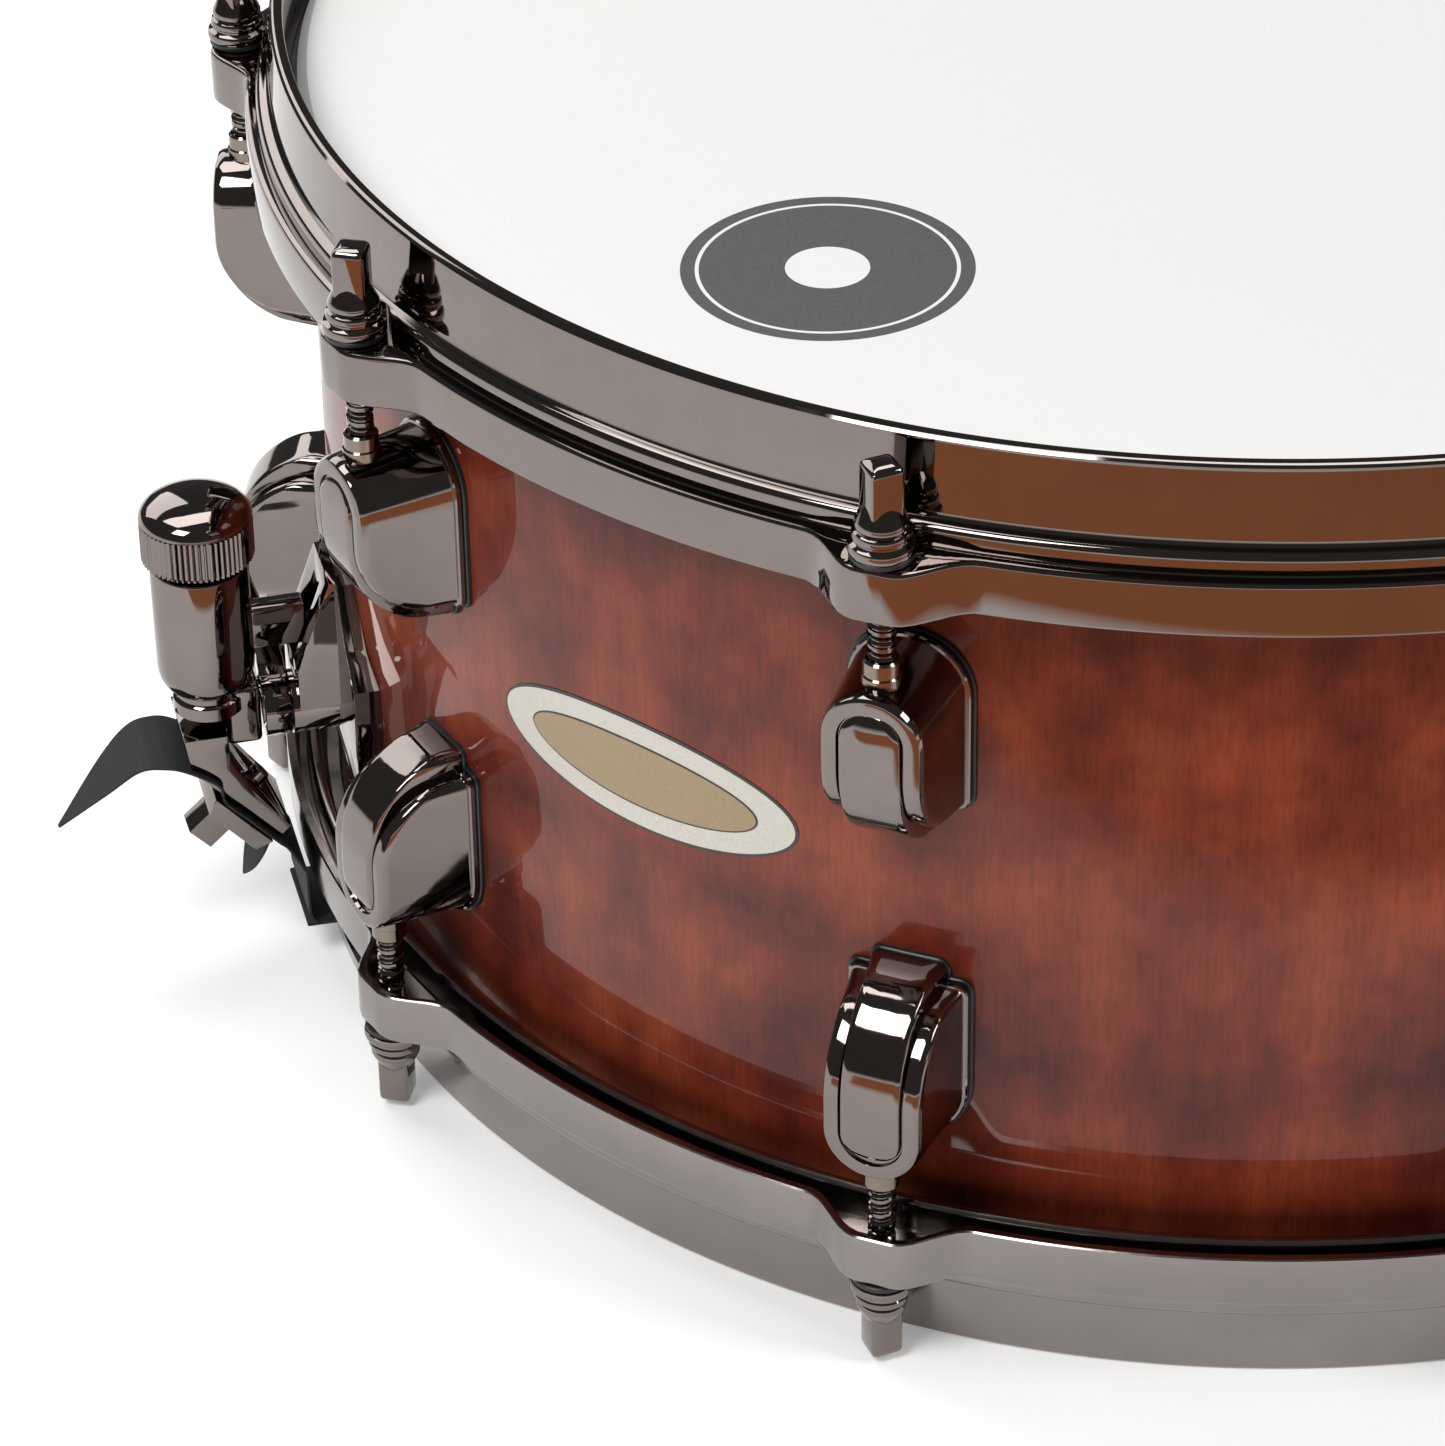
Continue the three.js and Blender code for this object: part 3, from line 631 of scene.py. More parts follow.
def refined(name, node, width):
    # A plain solid merged and given soft edges.
    piece = newObject(name, frame["nodes"][node].data.copy())
    shell = bmesh.new()
    shell.from_mesh(piece.data)
    bmesh.ops.remove_doubles(shell, verts=shell.verts, dist=refining["weldReach"])
    bmesh.ops.dissolve_limit(
        shell, angle_limit=math.radians(refining["flatTurn"]), verts=shell.verts, edges=shell.edges)
    shell.to_mesh(piece.data)
    shell.free()
    return bevelled(piece, width, 3, refining["bevelFrom"])


ventGrommet = refined("ventGrommet", "air_vent", 0.3)
dress(ventGrommet, finishes["nickel"], "drum_shell", ["air_vent"])
print("shell and vent built")

# Hoops.
hoop = {
    "segments": 720,
    "earReach": 5.2,
    "flangeReach": 11.4,
    "earFlat": 3,
    "earSpread": 16,
    "seatRadius": 6.5,
    "rodHole": 3,
    "seatLevel": -7.2,
    "seatClear": (20, 12),  # how far the rod cutter reaches below and above the seat
    "gateWidth": 72,
    "gateLow": 4.5,
    "gateHigh": 17,
    "gateOut": 6,
    "gateDeep": 16,
    "gateRound": 2.5,
    # Out from the shell, up from the head's edge, and how far the point follows the ears.
    "outline": [
        (3.1, 11.55, 0), (3.25, 11.9, 0), (3.6, 12.0, 0), (4.55, 12.0, 0), (5.2, 11.85, 0),
        (5.65, 11.4, 0), (5.8, 10.7, 0), (6.75, -1.4, 0), (6.85, -2.2, 0), (7.1, -2.75, 0),
        (7.6, -2.95, 0), (8.3, -3.05, 0), (8.85, -3.45, 0), (9.15, -4.1, 0), (9.2, -5.0, 0),
        (9.15, -6.2, 0), (9.05, -6.9, 0), (9.25, -7.2, 0), (10.6, -7.2, 1), (11.05, -7.35, 1),
        (11.3, -7.7, 1), (11.4, -8.2, 1), (11.4, -16.9, 1), (11.3, -17.35, 1), (11.0, -17.6, 1),
        (9.7, -17.6, 1), (9.35, -17.35, 1), (9.2, -12.2, 1), (8.9, -11.7, 1), (7.5, -11.6, 0),
        (7.2, -12.0, 0), (7.0, -16.7, 0), (6.85, -17.5, 0), (6.4, -18.05, 0), (5.75, -18.2, 0),
        (5.1, -18.0, 0), (4.7, -17.5, 0), (4.6, -16.8, 0), (4.6, -5.7, 0), (3.1, -5.7, 0),
    ],
}


def earOut(look, angle):
    # How far the flange swells out at this angle to carry the nearest rod.
    pitch = 360 / drum["lugCount"]
    away = abs((angle + pitch / 2) % pitch - pitch / 2)
    along = math.radians(away) * drum["rodCircle"]
    t = min(1, max(0, (along - look["earFlat"]) / (look["earSpread"] - look["earFlat"])))
    full = drum["rodCircle"] + look["earReach"] - drum["shellRadius"] - look["flangeReach"]
    return full * (1 - t * t * (3 - 2 * t))


def makeHoop(name, look):
    points = []
    faces = []
    count = len(look["outline"])
    for step in range(look["segments"]):
        angle = 360 * step / look["segments"]
        swell = earOut(look, angle)
        for out, up, share in look["outline"]:
            radius = drum["shellRadius"] + out + share * swell
            points.append(around(angle, radius, drum["edgeHigh"] + up))
    for step in range(look["segments"]):
        near = step * count
        far = ((step + 1) % look["segments"]) * count
        for k in range(count):
            m = (k + 1) % count
            faces.append((near + k, near + m, far + m, far + k))
    piece = meshPiece(name, points, faces)
    tidy(piece)
    seat = drum["edgeHigh"] + look["seatLevel"]
    below = seat - look["seatClear"][0]
    above = seat + look["seatClear"][1]
    cutters = []
    for number in range(drum["lugCount"]):
        x, y, _ = around(360 * number / drum["lugCount"], drum["rodCircle"], 0)
        cutters.append(turned("rodCutter", [
            (0, below), (look["rodHole"], below), (look["rodHole"], seat),
            (look["seatRadius"], seat), (look["seatRadius"], above), (0, above),
        ], 40, (x, y)))
    return cut(piece, joined("cutters", cutters))


def openGates(piece, look):
    # Two openings in the lower flange that let the straps through.
    cutters = []
    high = look["gateHigh"] - look["gateLow"]
    middle = look["gateLow"] + high / 2
    for side in (-1, 1):
        bpy.ops.mesh.primitive_cube_add(size=1)
        gate = bpy.context.object
        reach = side * (drum["shellRadius"] + look["gateOut"])
        gate.data.transform(
            Matrix.Translation((reach * mm, 0, middle * mm))
            @ Matrix.Diagonal((look["gateDeep"] * mm, look["gateWidth"] * mm, high * mm, 1)))
        bevelled(gate, look["gateRound"], 4)
        cutters.append(gate)
    return cut(piece, joined("gateCutters", cutters))


dress(makeHoop("topHoop", hoop), finishes["nickel"], "top_hoop", ["top_hoop"])
bottomHoop = openGates(turnOver(makeHoop("bottomHoop", hoop)), hoop)
dress(bottomHoop, finishes["satin"], "bottom_hoop", ["bottom_hoop"])
print("hoops built")

# Heads.
head = {
    "segments": 240,
    # Radius, and height above the shell's edge.
    "film": [
        (0, 0.05), (100, 0.05), (174.45, 0.05), (176.45, 0.0), (178.4, -1.75), (178.4, -5.8),
        (178.9, -5.8), (178.9, -1.45), (176.95, 0.2), (175.05, 0.45), (100, 0.45), (0, 0.45),
    ],
    "fleshHoop": [
        (178.4, -10.0), (178.8, -10.4), (181.1, -10.4), (181.9, -9.6),
        (181.9, -6.8), (181.1, -6.0), (178.8, -6.0), (178.4, -6.4),
    ],
}


def makeHead(name, look, material, upsideDown, body, nodeFilm, nodeRing):
    edge = drum["edgeHigh"]
    film = turned(name + "Film", [(radius, edge + up) for radius, up in look["film"]], look["segments"])
    flesh = turned(
        name + "FleshHoop", [(radius, edge + up) for radius, up in look["fleshHoop"]], look["segments"])
    if upsideDown:
        turnOver(film)
        turnOver(flesh)
    dress(film, material, body, [nodeFilm])
    dress(flesh, finishes["steel"], body, [nodeRing])


makeHead("batter", head, finishes["film"], False, "drum_shell", "batter_head_film", "batter_head_ring")
makeHead("snare", head, finishes["snareFilm"], True, "drum_shell", "snare_head_film", "snare_head_ring")
print("heads built")

# Lugs.
lug = {
    "front": 20.4,
    "root": 1.9,
    "frameEnd": -22.8,
    "panelEnd": -26.4,
    "curveTop": -6.4,
    "archSteps": 28,
    "curveSteps": 16,
    "flatFrom": 3,
    # Each row: half width, how far its end stands in from the piece's end, corner radius,
    # and distance out. Rows against the shell are measured from it, the rest from the front.
    "frameFoot": [
        (11.0, 0.2, 2.0, 0.9), (11.2, 0, 2.0, 1.1), (11.2, 0, 2.0, 1.9),
        (10.95, 0.2, 1.9, 2.2), (10.5, 0.5, 1.8, 2.3),
    ],
    "frameRise": [
        (10.4, 0.6, 1.7, -99), (9.25, 0.8, 1.6, -2.0), (9.1, 0.9, 1.6, -1.1), (8.75, 1.1, 1.5, -0.4),
        (8.2, 1.4, 1.4, -0.08), (7.6, 1.7, 1.3, 0), (6.05, 2.6, 1.0, -0.1), (5.8, 2.8, 1.0, -0.7),
        (2.0, 3.2, 0.8, -0.8),
    ],
    "frameLeast": 2.5,
    "panelFoot": [(7.0, 0, 1.6, 0.9), (7.0, 0, 1.6, 1.6)],
    "panelRise": [
        (5.7, 0.2, 1.4, -1.2), (5.6, 0.3, 1.3, -0.6), (5.35, 0.5, 1.2, -0.2), (4.9, 0.8, 1.1, -0.02),
        (4.3, 1.2, 1.0, 0), (2.4, 2.0, 0.8, 0.05), (0.8, 2.6, 0.4, 0.06),
    ],
    "panelLeast": 1.8,
    "panelProud": 0.5,
    "panelHalf": 5.6,
    "panelRoll": 1.4,
    # The gasket behind the lug, in the same rows, round the frame's end and the panel's.
    "gasketRows": {
        "frameEnd": [(11.75, -0.55, 2.4, 0.02), (11.75, -0.55, 2.4, 0.7), (11.55, -0.35, 2.2, 0.9)],
        "panelEnd": [(7.55, -0.55, 2.4, 0.02), (7.55, -0.55, 2.4, 0.7), (7.35, -0.35, 2.2, 0.9)],
    },
}


def lugReach(look, z, end, front):
    # Full reach beside the rod, then a quarter ellipse back to the shell.
    s = min(1, max(0, (z - end) / (look["curveTop"] - end)))
    return look["root"] + (front - look["root"]) * math.sqrt(max(0, 1 - (1 - s) ** 2))


def archOutline(look, half, end, corner):
    # Round the outline from the middle of the far end, across, up one side and over the arch.
    side = [(0, end), (half * 0.5, end)]
    for step in range(5):
        turn = math.pi / 2 * step / 4
        side.append((half - corner + corner * math.sin(turn), end + corner - corner * math.cos(turn)))
    rise = look["curveTop"] - end - corner
    for step in range(1, look["curveSteps"] + 1):
        turn = math.pi / 2 * step / look["curveSteps"]
        side.append((half, end + corner + rise * (1 - math.cos(turn))))
    side.append((half, look["curveTop"] / 2))
    for step in range(look["archSteps"] // 2 + 1):
        turn = math.pi / 2 * step / (look["archSteps"] // 2)
        side.append((half * math.cos(turn), half * math.sin(turn)))
    other = [(-x, z) for x, z in reversed(side[1:-1])]
    return side + other


def nested(name, levels):
    # Each level is a list of points of one length; the last is closed left to right.
    count = len(levels[0])
    points = [point for level in levels for point in level]
    faces = bands(len(levels), count)
    for start, back in ((0, True), ((len(levels) - 1) * count, False)):
        for i in range(count // 2):
            last, other = (count - i - 1) % count, (count - i) % count
            quad = list(dict.fromkeys([start + i, start + i + 1, start + last, start + other]))
            faces.append(tuple(reversed(quad)) if back else tuple(quad))
    piece = meshPiece(name, points, faces)
    return tidy(piece)


def lugPoint(look, x, out, z):
    # Near the shell a point follows its curve; farther out it lies on a flat.
    reach = drum["shellRadius"] + out
    y = -math.sqrt(reach ** 2 - x * x) if out < look["flatFrom"] else -reach
    return (x, y, drum["archCentre"] + z)


def lugLevel(look, half, end, corner, outAt):
    return [lugPoint(look, x, outAt(z), z) for x, z in archOutline(look, half, end, corner)]


def footLevels(look, end, rows):
    return [lugLevel(look, half, end + inset, corner, lambda z: out) for half, inset, corner, out in rows]


def makeLug(look):
    def frame(offset):
        def reach(z):
            return max(look["frameLeast"], lugReach(look, z, look["frameEnd"], look["front"]) + offset)
        return reach

    def panel(offset):
        def reach(z):
            roll = look["panelRoll"] * (max(0, z) / look["panelHalf"]) ** 2
            front = look["front"] + look["panelProud"]
            return max(look["panelLeast"], lugReach(look, z, look["panelEnd"], front) + offset - roll)
        return reach

    parts = []
    for name, key, shape in (("lugBody", "frame", frame), ("lugPanel", "panel", panel)):
        end = look[key + "End"]
        levels = footLevels(look, end, look[key + "Foot"])
        for half, inset, corner, offset in look[key + "Rise"]:
            levels.append(lugLevel(look, half, end + inset, corner, shape(offset)))
        parts.append(nested(name, levels))
    return joined("lugMaster", parts)


def makeGasket(look):
    pieces = []
    for end, rows in look["gasketRows"].items():
        pieces.append(nested("gasketPart", footLevels(look, look[end], rows)))
    return joined("gasketMaster", pieces)


lugNames = [f"{number + 1:02d}" for number in range(drum["lugCount"])]
collar = {
    "segments": 32,
    "outline": [
        (2.65, 145), (3.5, 145), (3.5, 146.9), (3.2, 147.2), (3.2, 149.7), (2.8, 150.1), (2.65, 150.1),
    ],
}


def makeCollar(look):
    x, y, _ = around(0, drum["rodCircle"], 0)
    return turned("collarMaster", look["outline"], look["segments"], (x, y))


def placeLugs():
    for maker, name, material, slotName, nodeName in (
            (makeLug(lug), "Lugs", finishes["nickel"], "black_nickel", "lug"),
            (makeGasket(lug), "LugGaskets", finishes["rubber"], "black_nickel", None),
            (makeCollar(collar), "SwivelCollars", finishes["brass"], "black_nickel", None)):
        for level, side in (("upper", "top"), ("lower", "bottom")):
            row = spaced(level + name, maker, drum["lugCount"], 0, material)
            if side == "bottom":
                turnOver(row)
            nodes = [f"{nodeName}_{side}_{label}" for label in lugNames] if nodeName else ()
            dress(row, material, "drum_shell", nodes)
        bpy.data.objects.remove(maker)


placeLugs()
print("lugs built")

# Tension rods.
rod = {
    "threadRadius": 2.23,
    "threadWire": 0.36,
    "threadLow": 131.3,
    "threadLength": 29.4,
    "pitch": 25.4 / 24,
    "headHalf": 3.0,
    "headRound": 0.85,
    # Height and share of the head's full width, for a softly domed top.
    "headRows": [(177.8, 1.0), (186.5, 1.0), (187.2, 0.95), (187.7, 0.8), (188.0, 0.45)],
    "stem": [
        (0, 130.1), (1.5, 130.1), (2.15, 130.9), (2.15, 161), (2.5, 161.4), (2.5, 171.0),
    ],
    # Radius and height of the washer and the rings under the head.
    "rings": [
        (5.2, 171.15), (5.7, 171.35), (5.85, 171.8), (5.85, 172.5), (5.65, 173.0), (5.1, 173.3),
        (4.85, 173.5), (4.85, 173.8), (5.1, 174.1), (5.15, 174.7), (4.9, 175.3), (4.5, 175.5),
        (4.4, 175.8), (4.65, 176.2), (4.7, 176.8), (4.45, 177.4), (4.0, 178.4), (3.5, 179.4),
        (3.1, 180.0), (2.9, 180.4), (0, 180.4),
    ],
    "nylon": [(2.7, 169.95), (5.3, 169.95), (5.55, 170.2), (5.55, 170.9), (5.3, 171.15), (2.7, 171.15)],
}


def keyHead(look, centre):
    # A square key head with rounded corners, one corner facing out.
    points = []
    corners = 4
    arc = 5
    quarter = math.pi / 4
    for z, share in look["headRows"]:
        half = look["headHalf"] * share
        soft = look["headRound"] * share
        for corner in range(corners):
            middle = corner * math.pi / 2 + quarter
            cx = (half - soft) * math.sqrt(2) * math.cos(middle)
            cy = (half - soft) * math.sqrt(2) * math.sin(middle)
            for step in range(arc):
                turn = middle - quarter + math.pi / 2 * step / (arc - 1)
                x = cx + soft * math.cos(turn)
                y = cy + soft * math.sin(turn)
                points.append((
                    centre[0] + x * math.cos(quarter) - y * math.sin(quarter),
                    centre[1] + x * math.sin(quarter) + y * math.cos(quarter), z))
    count = corners * arc
    loops = len(look["headRows"])
    return tidy(meshPiece("keyHead", points, bands(loops, count) + endCaps(loops, count)))


def makeRod(look):
    x, y, _ = around(0, drum["rodCircle"], 0)
    stem = turned("rodStem", look["stem"] + look["rings"], 40, (x, y))
    thread = grow("rodThread", "helix", {
        "Radius": look["threadRadius"] * mm, "Wire": look["threadWire"] * mm,
        "Turns": look["threadLength"] / look["pitch"], "Height": look["threadLength"] * mm,
        "Sides": 4, "Steps": 12, "Start": (x * mm, y * mm, look["threadLow"] * mm), "Tilt": (0, 0, 0),
        "Count": 1, "Spacing": (0, 0, 0), "Material": finishes["nickel"]})
    return joined("rodMaster", [stem, keyHead(look, (x, y)), thread])


def placeRods():
    master = makeRod(rod)
    x, y, _ = around(0, drum["rodCircle"], 0)
    washer = turned("washerMaster", rod["nylon"], 32, (x, y))
    for side in ("top", "bottom"):
        for number, label in enumerate(lugNames):
            angle = 360 * number / drum["lugCount"]
            piece = spaced(f"{side}Rod{label}", master, 1, angle, finishes["nickel"])
            if side == "bottom":
                turnOver(piece)
            nodes = [f"tension_rod_{side}_{label}"]
            dress(piece, finishes["nickel"], f"{side}_rod_{label}", nodes)
        ring = spaced(f"{side}NylonWashers", washer, drum["lugCount"], 0, finishes["nylon"])
        if side == "bottom":
            turnOver(ring)
        dress(ring, finishes["nylon"], f"{side}_hoop")
    bpy.data.objects.remove(master)
    bpy.data.objects.remove(washer)


placeRods()
print("tension rods built")

# Strainer.
knob = {
    "x": -206,
    "segments": 72,
    "outline": [
        (0, 82.3), (3, 82.3), (3, 91.3), (9.1, 91.3), (10.0, 91.8), (10.7, 92.7), (10.7, 100.5),
        (10.85, 100.6), (11.05, 101.0), (10.9, 101.8), (10.3, 102.8), (9.0, 103.8), (6.8, 104.6),
        (3.7, 105.1), (0, 105.3),
    ],
    "flutes": 60,
    "fluteReach": 10.58,
    "fluteWidth": 0.62,
    "fluteHeight": 8.2,
    "fluteMiddle": 96.3,
}


def makeKnob(look):
    body = turned("knobBody", look["outline"], look["segments"], (look["x"], 0))
    wide = look["fluteWidth"] * mm
    flutes = grow("knobFlutes", "flutes", {
        "Count": look["flutes"], "Radius": look["fluteReach"] * mm,
        "Size": (wide, wide, look["fluteHeight"] * mm),
        "Centre": (look["x"] * mm, 0, look["fluteMiddle"] * mm), "Material": finishes["nickel"]}, 20)
    return joined("strainerKnob", [body, flutes])


dress(makeKnob(knob), finishes["nickel"], "tension_knob", ["tension_knob"])

for name, node, width, body in (
        ("strainerBody", "strainer_base", 0.8, "drum_shell"),
        ("strapArm", "strap_arm", 0.8, "strap_arm"),
        ("strapJaw", "strap_jaw", 0.6, "strap_arm"),
        ("strapBolt", "strap_bolt", 0.4, "strap_arm"),
        ("buttPlate", "butt_base", 1.2, "drum_shell"),
        ("buttJaw", "butt_jaw", 0.7, "drum_shell")):
    dress(refined(name, node, width), finishes["nickel"], body, [node])

carriage = {
    "x": -206,
    # Radius and height of the upright barrel, from the neck up to the top.
    "barrel": [
        (0, 57.5), (6.7, 57.5), (7.0, 57.8), (7.0, 60.4), (6.7, 60.8), (6.3, 61.1), (6.3, 62.2),
        (6.9, 62.8), (7.9, 63.5), (8.7, 64.5), (9.25, 65.8), (9.5, 67.2), (9.6, 68.8),
        (9.6, 90.0), (9.45, 90.35), (9.1, 90.5), (0, 90.5),
    ],
    # Corners of the boxes: the link over the crank, the slot cut in it and the guide rib.
    "link": ((-203.3, -4, 49.5), (-196.3, 9, 62.5)),
    "slot": ((-200.9, 1.8, 57.8), (-195.3, 6.65, 60.2)),
    "rib": ((-206, -2.4, 70), (-186.2, 2.4, 79)),
    "linkRound": 1.2,
    "ribRound": 0.6,
}


def block(name, corners):
    (x0, y0, z0), (x1, y1, z1) = corners
    points = [(x, y, z) for z in (z0, z1) for x, y in ((x0, y0), (x1, y0), (x1, y1), (x0, y1))]
    faces = [(3, 2, 1, 0), (4, 5, 6, 7)] + [(k, (k + 1) % 4, 4 + (k + 1) % 4, 4 + k) for k in range(4)]
    return meshPiece(name, points, faces)


def makeCarriage(look):
    barrel = turned("barrel", look["barrel"], 72, (look["x"], 0))
    link = cut(bevelled(block("link", look["link"]), look["linkRound"], 4), block("slot", look["slot"]))
    rib = bevelled(block("rib", look["rib"]), look["ribRound"])
    return joined("strainerCarriage", [barrel, link, rib])


strainerCarriage = makeCarriage(carriage)
dress(strainerCarriage, finishes["nickel"], "strainer_carriage", ["strainer_carriage"])

lever = {
    "x": -192.8,
    "axle": 55.5,
    # Height above the axle, reach, distance across, half depth and half width.
    "stations": [
        (1, 0, 0.5, 2.5, 3.4), (9, 0, 6.5, 2.4, 3.2), (15, 2, 11.5, 2.6, 2.6),
        (22, 5.5, 13.5, 4.0, 2.2), (31, 7.5, 14, 5.0, 1.8), (34, 7.5, 14, 3.4, 1.0),
    ],
    "steps": 5,
    "sides": 20,
    "squareness": 0.6,
    "sharpAngle": 50,
}


def throughPoints(rows, steps):
    # A smooth run through a list of rows of numbers.
    result = []
    for k in range(len(rows) - 1):
        before = rows[max(0, k - 1)]
        start, end = rows[k], rows[k + 1]
        after = rows[min(len(rows) - 1, k + 2)]
        for step in range(steps):
            t = step / steps
            result.append(tuple(
                0.5 * (2 * b + (c - a) * t + (2 * a - 5 * b + 4 * c - d) * t * t
                       + (3 * b - a - 3 * c + d) * t ** 3)
                for a, b, c, d in zip(before, start, end, after)))
    result.append(tuple(rows[-1]))
    return result


def makeLever(look):
    points = []
    rows = throughPoints(look["stations"], look["steps"])
    sides = look["sides"]
    for up, out, across, deep, wide in rows:
        for step in range(sides):
            turn = 2 * math.pi * step / sides
            cosine, sine = math.cos(turn), math.sin(turn)
            x = math.copysign(abs(cosine) ** look["squareness"], cosine) * deep
            y = math.copysign(abs(sine) ** look["squareness"], sine) * wide
            points.append((look["x"] - out - x, across + y, look["axle"] + up))
    faces = bands(len(rows), sides) + endCaps(len(rows), sides)
    return tidy(meshPiece("leverHandle", points, faces, look["sharpAngle"]), look["sharpAngle"])


leverHub = refined("leverHub", "strainer_lever", 0.35)
dress(leverHub, finishes["nickel"], "strainer_lever", ["strainer_lever"])
dress(makeLever(lever), finishes["nickel"], "strainer_lever")
print("strainer built")

# Straps.
strap = {
    "thickness": 0.5,
    "width": 20,
    "under": [(139.8, 8.3), (186.75, 8.3), (188.95, 8.9), (190.05, 10.5), (190.25, 13.8)],
    "turnUp": (190.35, 21),
    "buttFace": 190.15,
    "clampTilt": 48,
    "clampReach": 201.5,
    "clampHeight": 36,
    "heldFrom": -9.6,
    "tail": [(206.5, 44.5), (212.5, 48.8), (216.8, 50.2), (221.8, 49.6), (228.0, 44.2), (237.6, 34.1)],
    "tailHalves": [10, 10, 9.6, 8.4, 6.2, 0.4],
    "slackAlong": -12,
    "armAlong": (-5, 0, 6),
    "buttHeights": (24, 45, 64.6),
    "across": 8,
    "steps": 6,
    "trim": 0.03,
    "sharpAngle": 50,
    "lowTip": [(196.4, 29.2, 7), (198.4, 24.6, 6.6), (200.2, 20.4, 4.6), (201.6, 16.4, 0.4)],
}


def clampPoint(look, along):
    tilt = math.radians(look["clampTilt"])
    return (look["clampReach"] + along * math.cos(tilt), look["clampHeight"] + along * math.sin(tilt))


def ribbon(name, look, rows, side=-1):
    # Rows of reach, height and half width; side is -1 for the strainer and 1 for the butt.
    rows = throughPoints(rows, look["steps"])
    points = []
    across = look["across"]
    half = look["thickness"] / 2 - look["trim"]
    for k, (reach, height, width) in enumerate(rows):
        before, after = rows[max(0, k - 1)], rows[min(len(rows) - 1, k + 1)]
        dr, dz = after[0] - before[0], after[1] - before[1]
        length = math.hypot(dr, dz)
        nr, nz = -dz / length, dr / length
        for off in (-half, half):
            for step in range(across + 1):
                y = width * (2 * step / across - 1) * (1 if off < 0 else -1)
                points.append((side * (reach + nr * off), y, height + nz * off))
    count = 2 * (across + 1)
    faces = bands(len(rows), count)
    last = (len(rows) - 1) * count
    for start, back in ((0, True), (last, False)):
        for i in range(across):
            quad = (start + i, start + i + 1, start + count - i - 2, start + count - i - 1)
            faces.append(tuple(reversed(quad)) if back else quad)
    return tidy(meshPiece(name, points, faces, look["sharpAngle"]), look["sharpAngle"])


def makeStraps(look):
    wide = look["width"] / 2
    low = [(r, z, wide) for r, z in look["under"]]
    turnUp = (*look["turnUp"], wide)
    held = (*clampPoint(look, look["heldFrom"]), wide)
    # The strap up to the bend and its slack are not attached to any body; from the held point on, the
    # tail goes with the arm.
    pull = ribbon("strainerStrap", look, [*low, turnUp])
    pull.data.materials.append(finishes["strap"])
    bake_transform(pull)
    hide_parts("strap_strainer")
    slack = ribbon("strapSlack", look, [turnUp, (*clampPoint(look, look["slackAlong"]), wide), held])
    slack.data.materials.append(finishes["strap"])
    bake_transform(slack)
    tail = [held] + [(*clampPoint(look, along), wide) for along in look["armAlong"]]
    tail += [(r, z, h) for (r, z), h in zip(look["tail"], look["tailHalves"])]
    dress(ribbon("strapTail", look, tail), finishes["strap"], "strap_arm")
    dress(ribbon("strapLowTip", look, look["lowTip"]), finishes["strap"], "strap_arm")
    butt = low + [(look["buttFace"], height, wide) for height in look["buttHeights"]]
    dress(ribbon("buttStrap", look, butt, 1), finishes["strap"], "drum_shell", ["strap_butt"])


makeStraps(strap)

# Snare wires.
wires = {
    "count": 20,
    "pitch": 2.3,
    "length": 283,
    "coilRadius": 0.62,
    "wire": 0.2,
    "turnLength": 1.55,
    "top": 11.1,
    "plateLow": 8.85,
    "plateHigh": 10.35,
    "plateRound": 0.5,
    "plateLength": 12,
    "plateStart": 141.8,
}


def makeWires(look):
    turns = look["length"] / look["turnLength"]
    level = look["top"] - look["coilRadius"] - look["wire"]
    coils = grow("snareCoils", "helix", {
        "Radius": look["coilRadius"] * mm, "Wire": look["wire"] * mm, "Turns": turns,
        "Height": look["length"] * mm, "Sides": 3, "Steps": 7,
        "Start": (-look["length"] / 2 * mm, -(look["count"] - 1) / 2 * look["pitch"] * mm, level * mm),
        "Tilt": (0, math.radians(90), 0), "Count": look["count"], "Spacing": (0, look["pitch"] * mm, 0),
        "Material": finishes["steel"]}, 60)
    parts = [coils]
    half = look["count"] * look["pitch"] / 2
    inner, outer = look["plateStart"], look["plateStart"] + look["plateLength"]
    for near, far in ((-outer, -inner), (inner, outer)):
        plate = block("endPlate", ((near, -half, look["plateLow"]), (far, half, look["plateHigh"])))
        parts.append(bevelled(plate, look["plateRound"]))
    snareWires = joined("snareWires", parts)
    dress(snareWires, finishes["steel"], "drum_shell", ["snare_wires"])


makeWires(wires)
print("straps and snare wires built")

# Badge.
badge = {
    "angle": -54,
    "height": 98.5,
    # Name, half width, half height, where its side starts and where its face lies, and finish.
    "layers": [
        ("badgeOutline", 34.5, 11.4, 0.02, 0.16, "badgeLine"),
        ("badgePlate", 33.9, 10.8, 0.10, 0.26, "badgeSilver"),
        ("badgeLineRing", 26.4, 6.8, 0.20, 0.30, "badgeLine"),
        ("badgeCentre", 26.0, 6.4, 0.24, 0.36, "badgeBronze"),
    ],
    "steps": 96,
    "rings": 6,
}


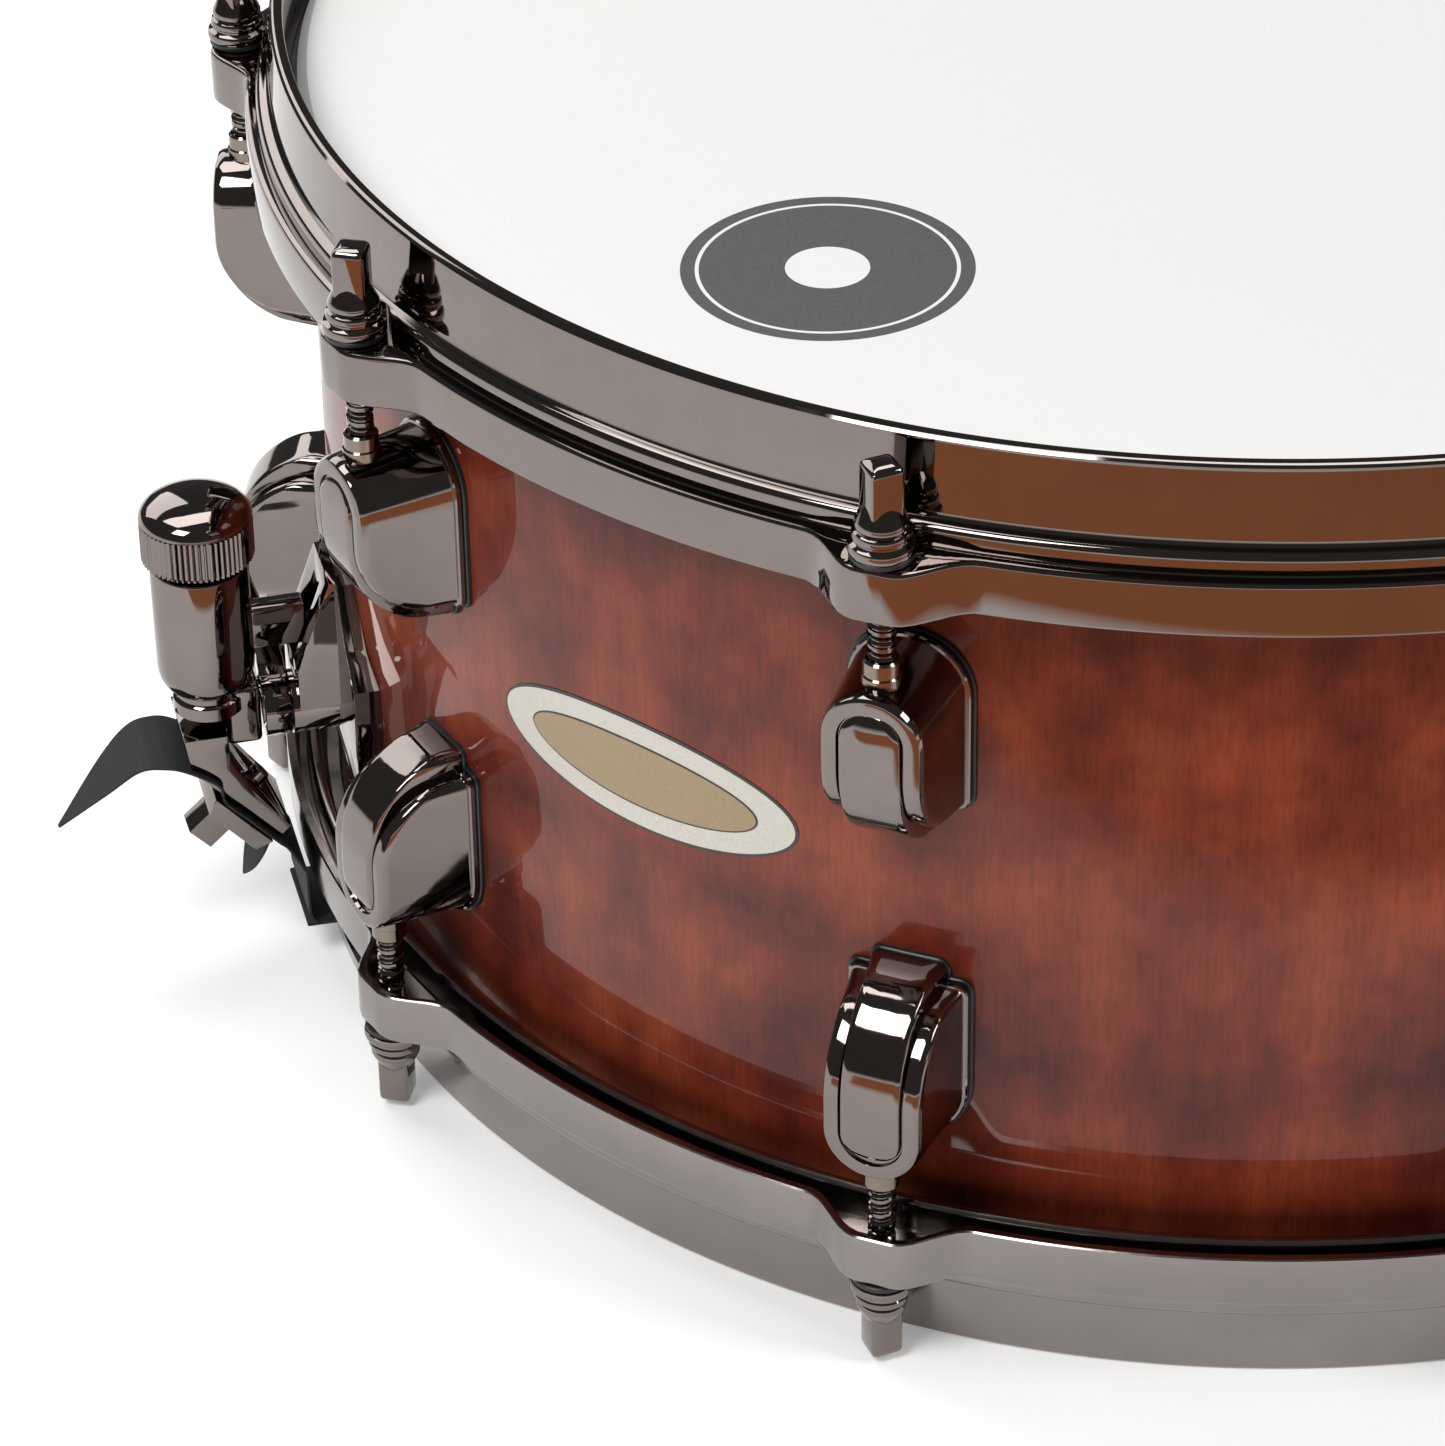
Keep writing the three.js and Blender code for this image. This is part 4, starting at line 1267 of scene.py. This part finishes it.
def badgeLayer(look, name, halfWidth, halfHeight, low, high):
    points = []

    def spot(u, v, out):
        angle = look["angle"] + math.degrees(u / drum["shellRadius"])
        return around(angle, drum["shellRadius"] + out, look["height"] + v)

    steps, rings = look["steps"], look["rings"]
    shares = [k / rings for k in range(rings, 0, -1)]
    loops = [(1.0, low)] + [(share, high) for share in shares]
    for share, out in loops:
        for step in range(steps):
            turn = 2 * math.pi * step / steps
            u = halfWidth * share * math.cos(turn)
            v = halfHeight * share * math.sin(turn)
            points.append(spot(u, v, out))
    points.append(spot(0, 0, high))
    faces = bands(len(loops), steps)
    last = (len(loops) - 1) * steps
    for i in range(steps):
        faces.append((last + i, last + (i + 1) % steps, len(points) - 1))
    faces.append(tuple(reversed(range(steps))))
    return tidy(meshPiece(name, points, faces))


for name, halfWidth, halfHeight, low, high, finishName in badge["layers"]:
    layer = badgeLayer(badge, name, halfWidth, halfHeight, low, high)
    dress(layer, finishes[finishName], "drum_shell")
print("badge built")

# Floor, lights, camera.
studio = {
    "floorSize": 12,
    "world": (0.62, 0.61, 0.60),
    "worldStrength": 0.14,
    "key": ((-1.3, -0.9, 2.0), (0.9, 0.9), 34),
    "fill": ((1.7, -1.2, 1.7), (1.0, 0.8), 25),
    "top": ((-0.2, 0.9, 2.6), (2.4, 1.2), 40),
    "back": ((-0.8, 1.6, 1.15), (1.4, 0.9), 11),
    "floorColour": (0.9, 0.9, 0.9),
    "floorGlow": 0.24,
    # A board lying on the floor; its near edge fades into the floor between two distances.
    "cardCorners": [(-300, -280, 2), (-950, -745, 2), (600, -1300, 2), (600, -280, 2)],
    "cardColour": (0.50, 0.185, 0.078),
    "cardFade": (-0.345, -0.285),
    "aim": (0, 0, 0.1),
}


def makeFloor(look):
    bpy.ops.mesh.primitive_plane_add(size=look["floorSize"])
    floor = bpy.context.object
    floor.name = "floor"
    material, _, shader = startMaterial("paleFloor", Roughness=0.8)
    shader.inputs["Base Color"].default_value = (*look["floorColour"], 1)
    shader.inputs["Emission Color"].default_value = (1, 1, 1, 1)
    shader.inputs["Emission Strength"].default_value = look["floorGlow"]
    floor.data.materials.append(material)


def makeCard(look):
    # A brown board lying in front, seen only as a reflection in the plating.
    card = meshPiece("brownCard", look["cardCorners"], [(0, 1, 2, 3)])
    material, tree, shader = startMaterial("brownBoard", Roughness=1.0)
    parts = addNode(tree, "ShaderNodeSeparateXYZ")
    tree.links.new(addNode(tree, "ShaderNodeTexCoord").outputs["Object"], parts.inputs[0])
    fade = addNode(tree, "ShaderNodeMapRange")
    tree.links.new(parts.outputs["Y"], fade.inputs["Value"])
    fade.inputs["From Min"].default_value, fade.inputs["From Max"].default_value = look["cardFade"]
    faded = mixColour(tree, fade.outputs["Result"], look["cardColour"], look["floorColour"])
    tree.links.new(faded, shader.inputs["Base Color"])
    tree.links.new(faded, shader.inputs["Emission Color"])
    shader.inputs["Emission Strength"].default_value = look["floorGlow"]
    card.data.materials.append(material)
    card.visible_camera = False
    card.visible_diffuse = False
    card.visible_shadow = False


def softbox(name, aim, place, size, power):
    data = bpy.data.lights.new(name, "AREA")
    data.shape = "RECTANGLE"
    data.size, data.size_y = size
    data.energy = power
    lamp = bpy.data.objects.new(name, data)
    bpy.context.scene.collection.objects.link(lamp)
    lamp.location = place
    lamp.rotation_euler = (Vector(aim) - Vector(place)).to_track_quat("-Z", "Y").to_euler()
    lamp.visible_camera = False
    return lamp


def makeStudio(look):
    world = bpy.data.worlds.new("studio")
    bpy.context.scene.world = world
    world.use_nodes = True
    background = world.node_tree.nodes["Background"]
    background.inputs["Color"].default_value = (*look["world"], 1)
    background.inputs["Strength"].default_value = look["worldStrength"]
    for name in ("key", "fill", "top", "back"):
        softbox(name + "Softbox", look["aim"], *look[name])


view = {
    "sensor": 36,
    "lens": 144.27,
    "shift": (0.263, -0.056),
    "clipStart": 0.05,
    "place": (-0.32823, -0.93899, 0.67849),
    "right": (0.98072054, -0.1887821, -0.05048302),
    "up": (0.1440248, 0.52367032, 0.83965841),
}


def makeCamera(look):
    data = bpy.data.cameras.new("camera")
    data.sensor_width = look["sensor"]
    data.sensor_fit = "HORIZONTAL"
    data.lens = look["lens"]
    data.shift_x, data.shift_y = look["shift"]
    data.clip_start = look["clipStart"]
    right = Vector(look["right"])
    up = Vector(look["up"])
    back = right.cross(up).normalized()
    camera = bpy.data.objects.new("camera", data)
    bpy.context.scene.collection.objects.link(camera)
    turn = Matrix((right, up, back)).transposed().to_4x4()
    camera.matrix_world = Matrix.Translation(look["place"]) @ turn
    bpy.context.scene.camera = camera


makeFloor(studio)
makeCard(studio)
makeStudio(studio)
makeCamera(view)
bpy.context.scene.view_settings.view_transform = "Standard"
print("studio ready")
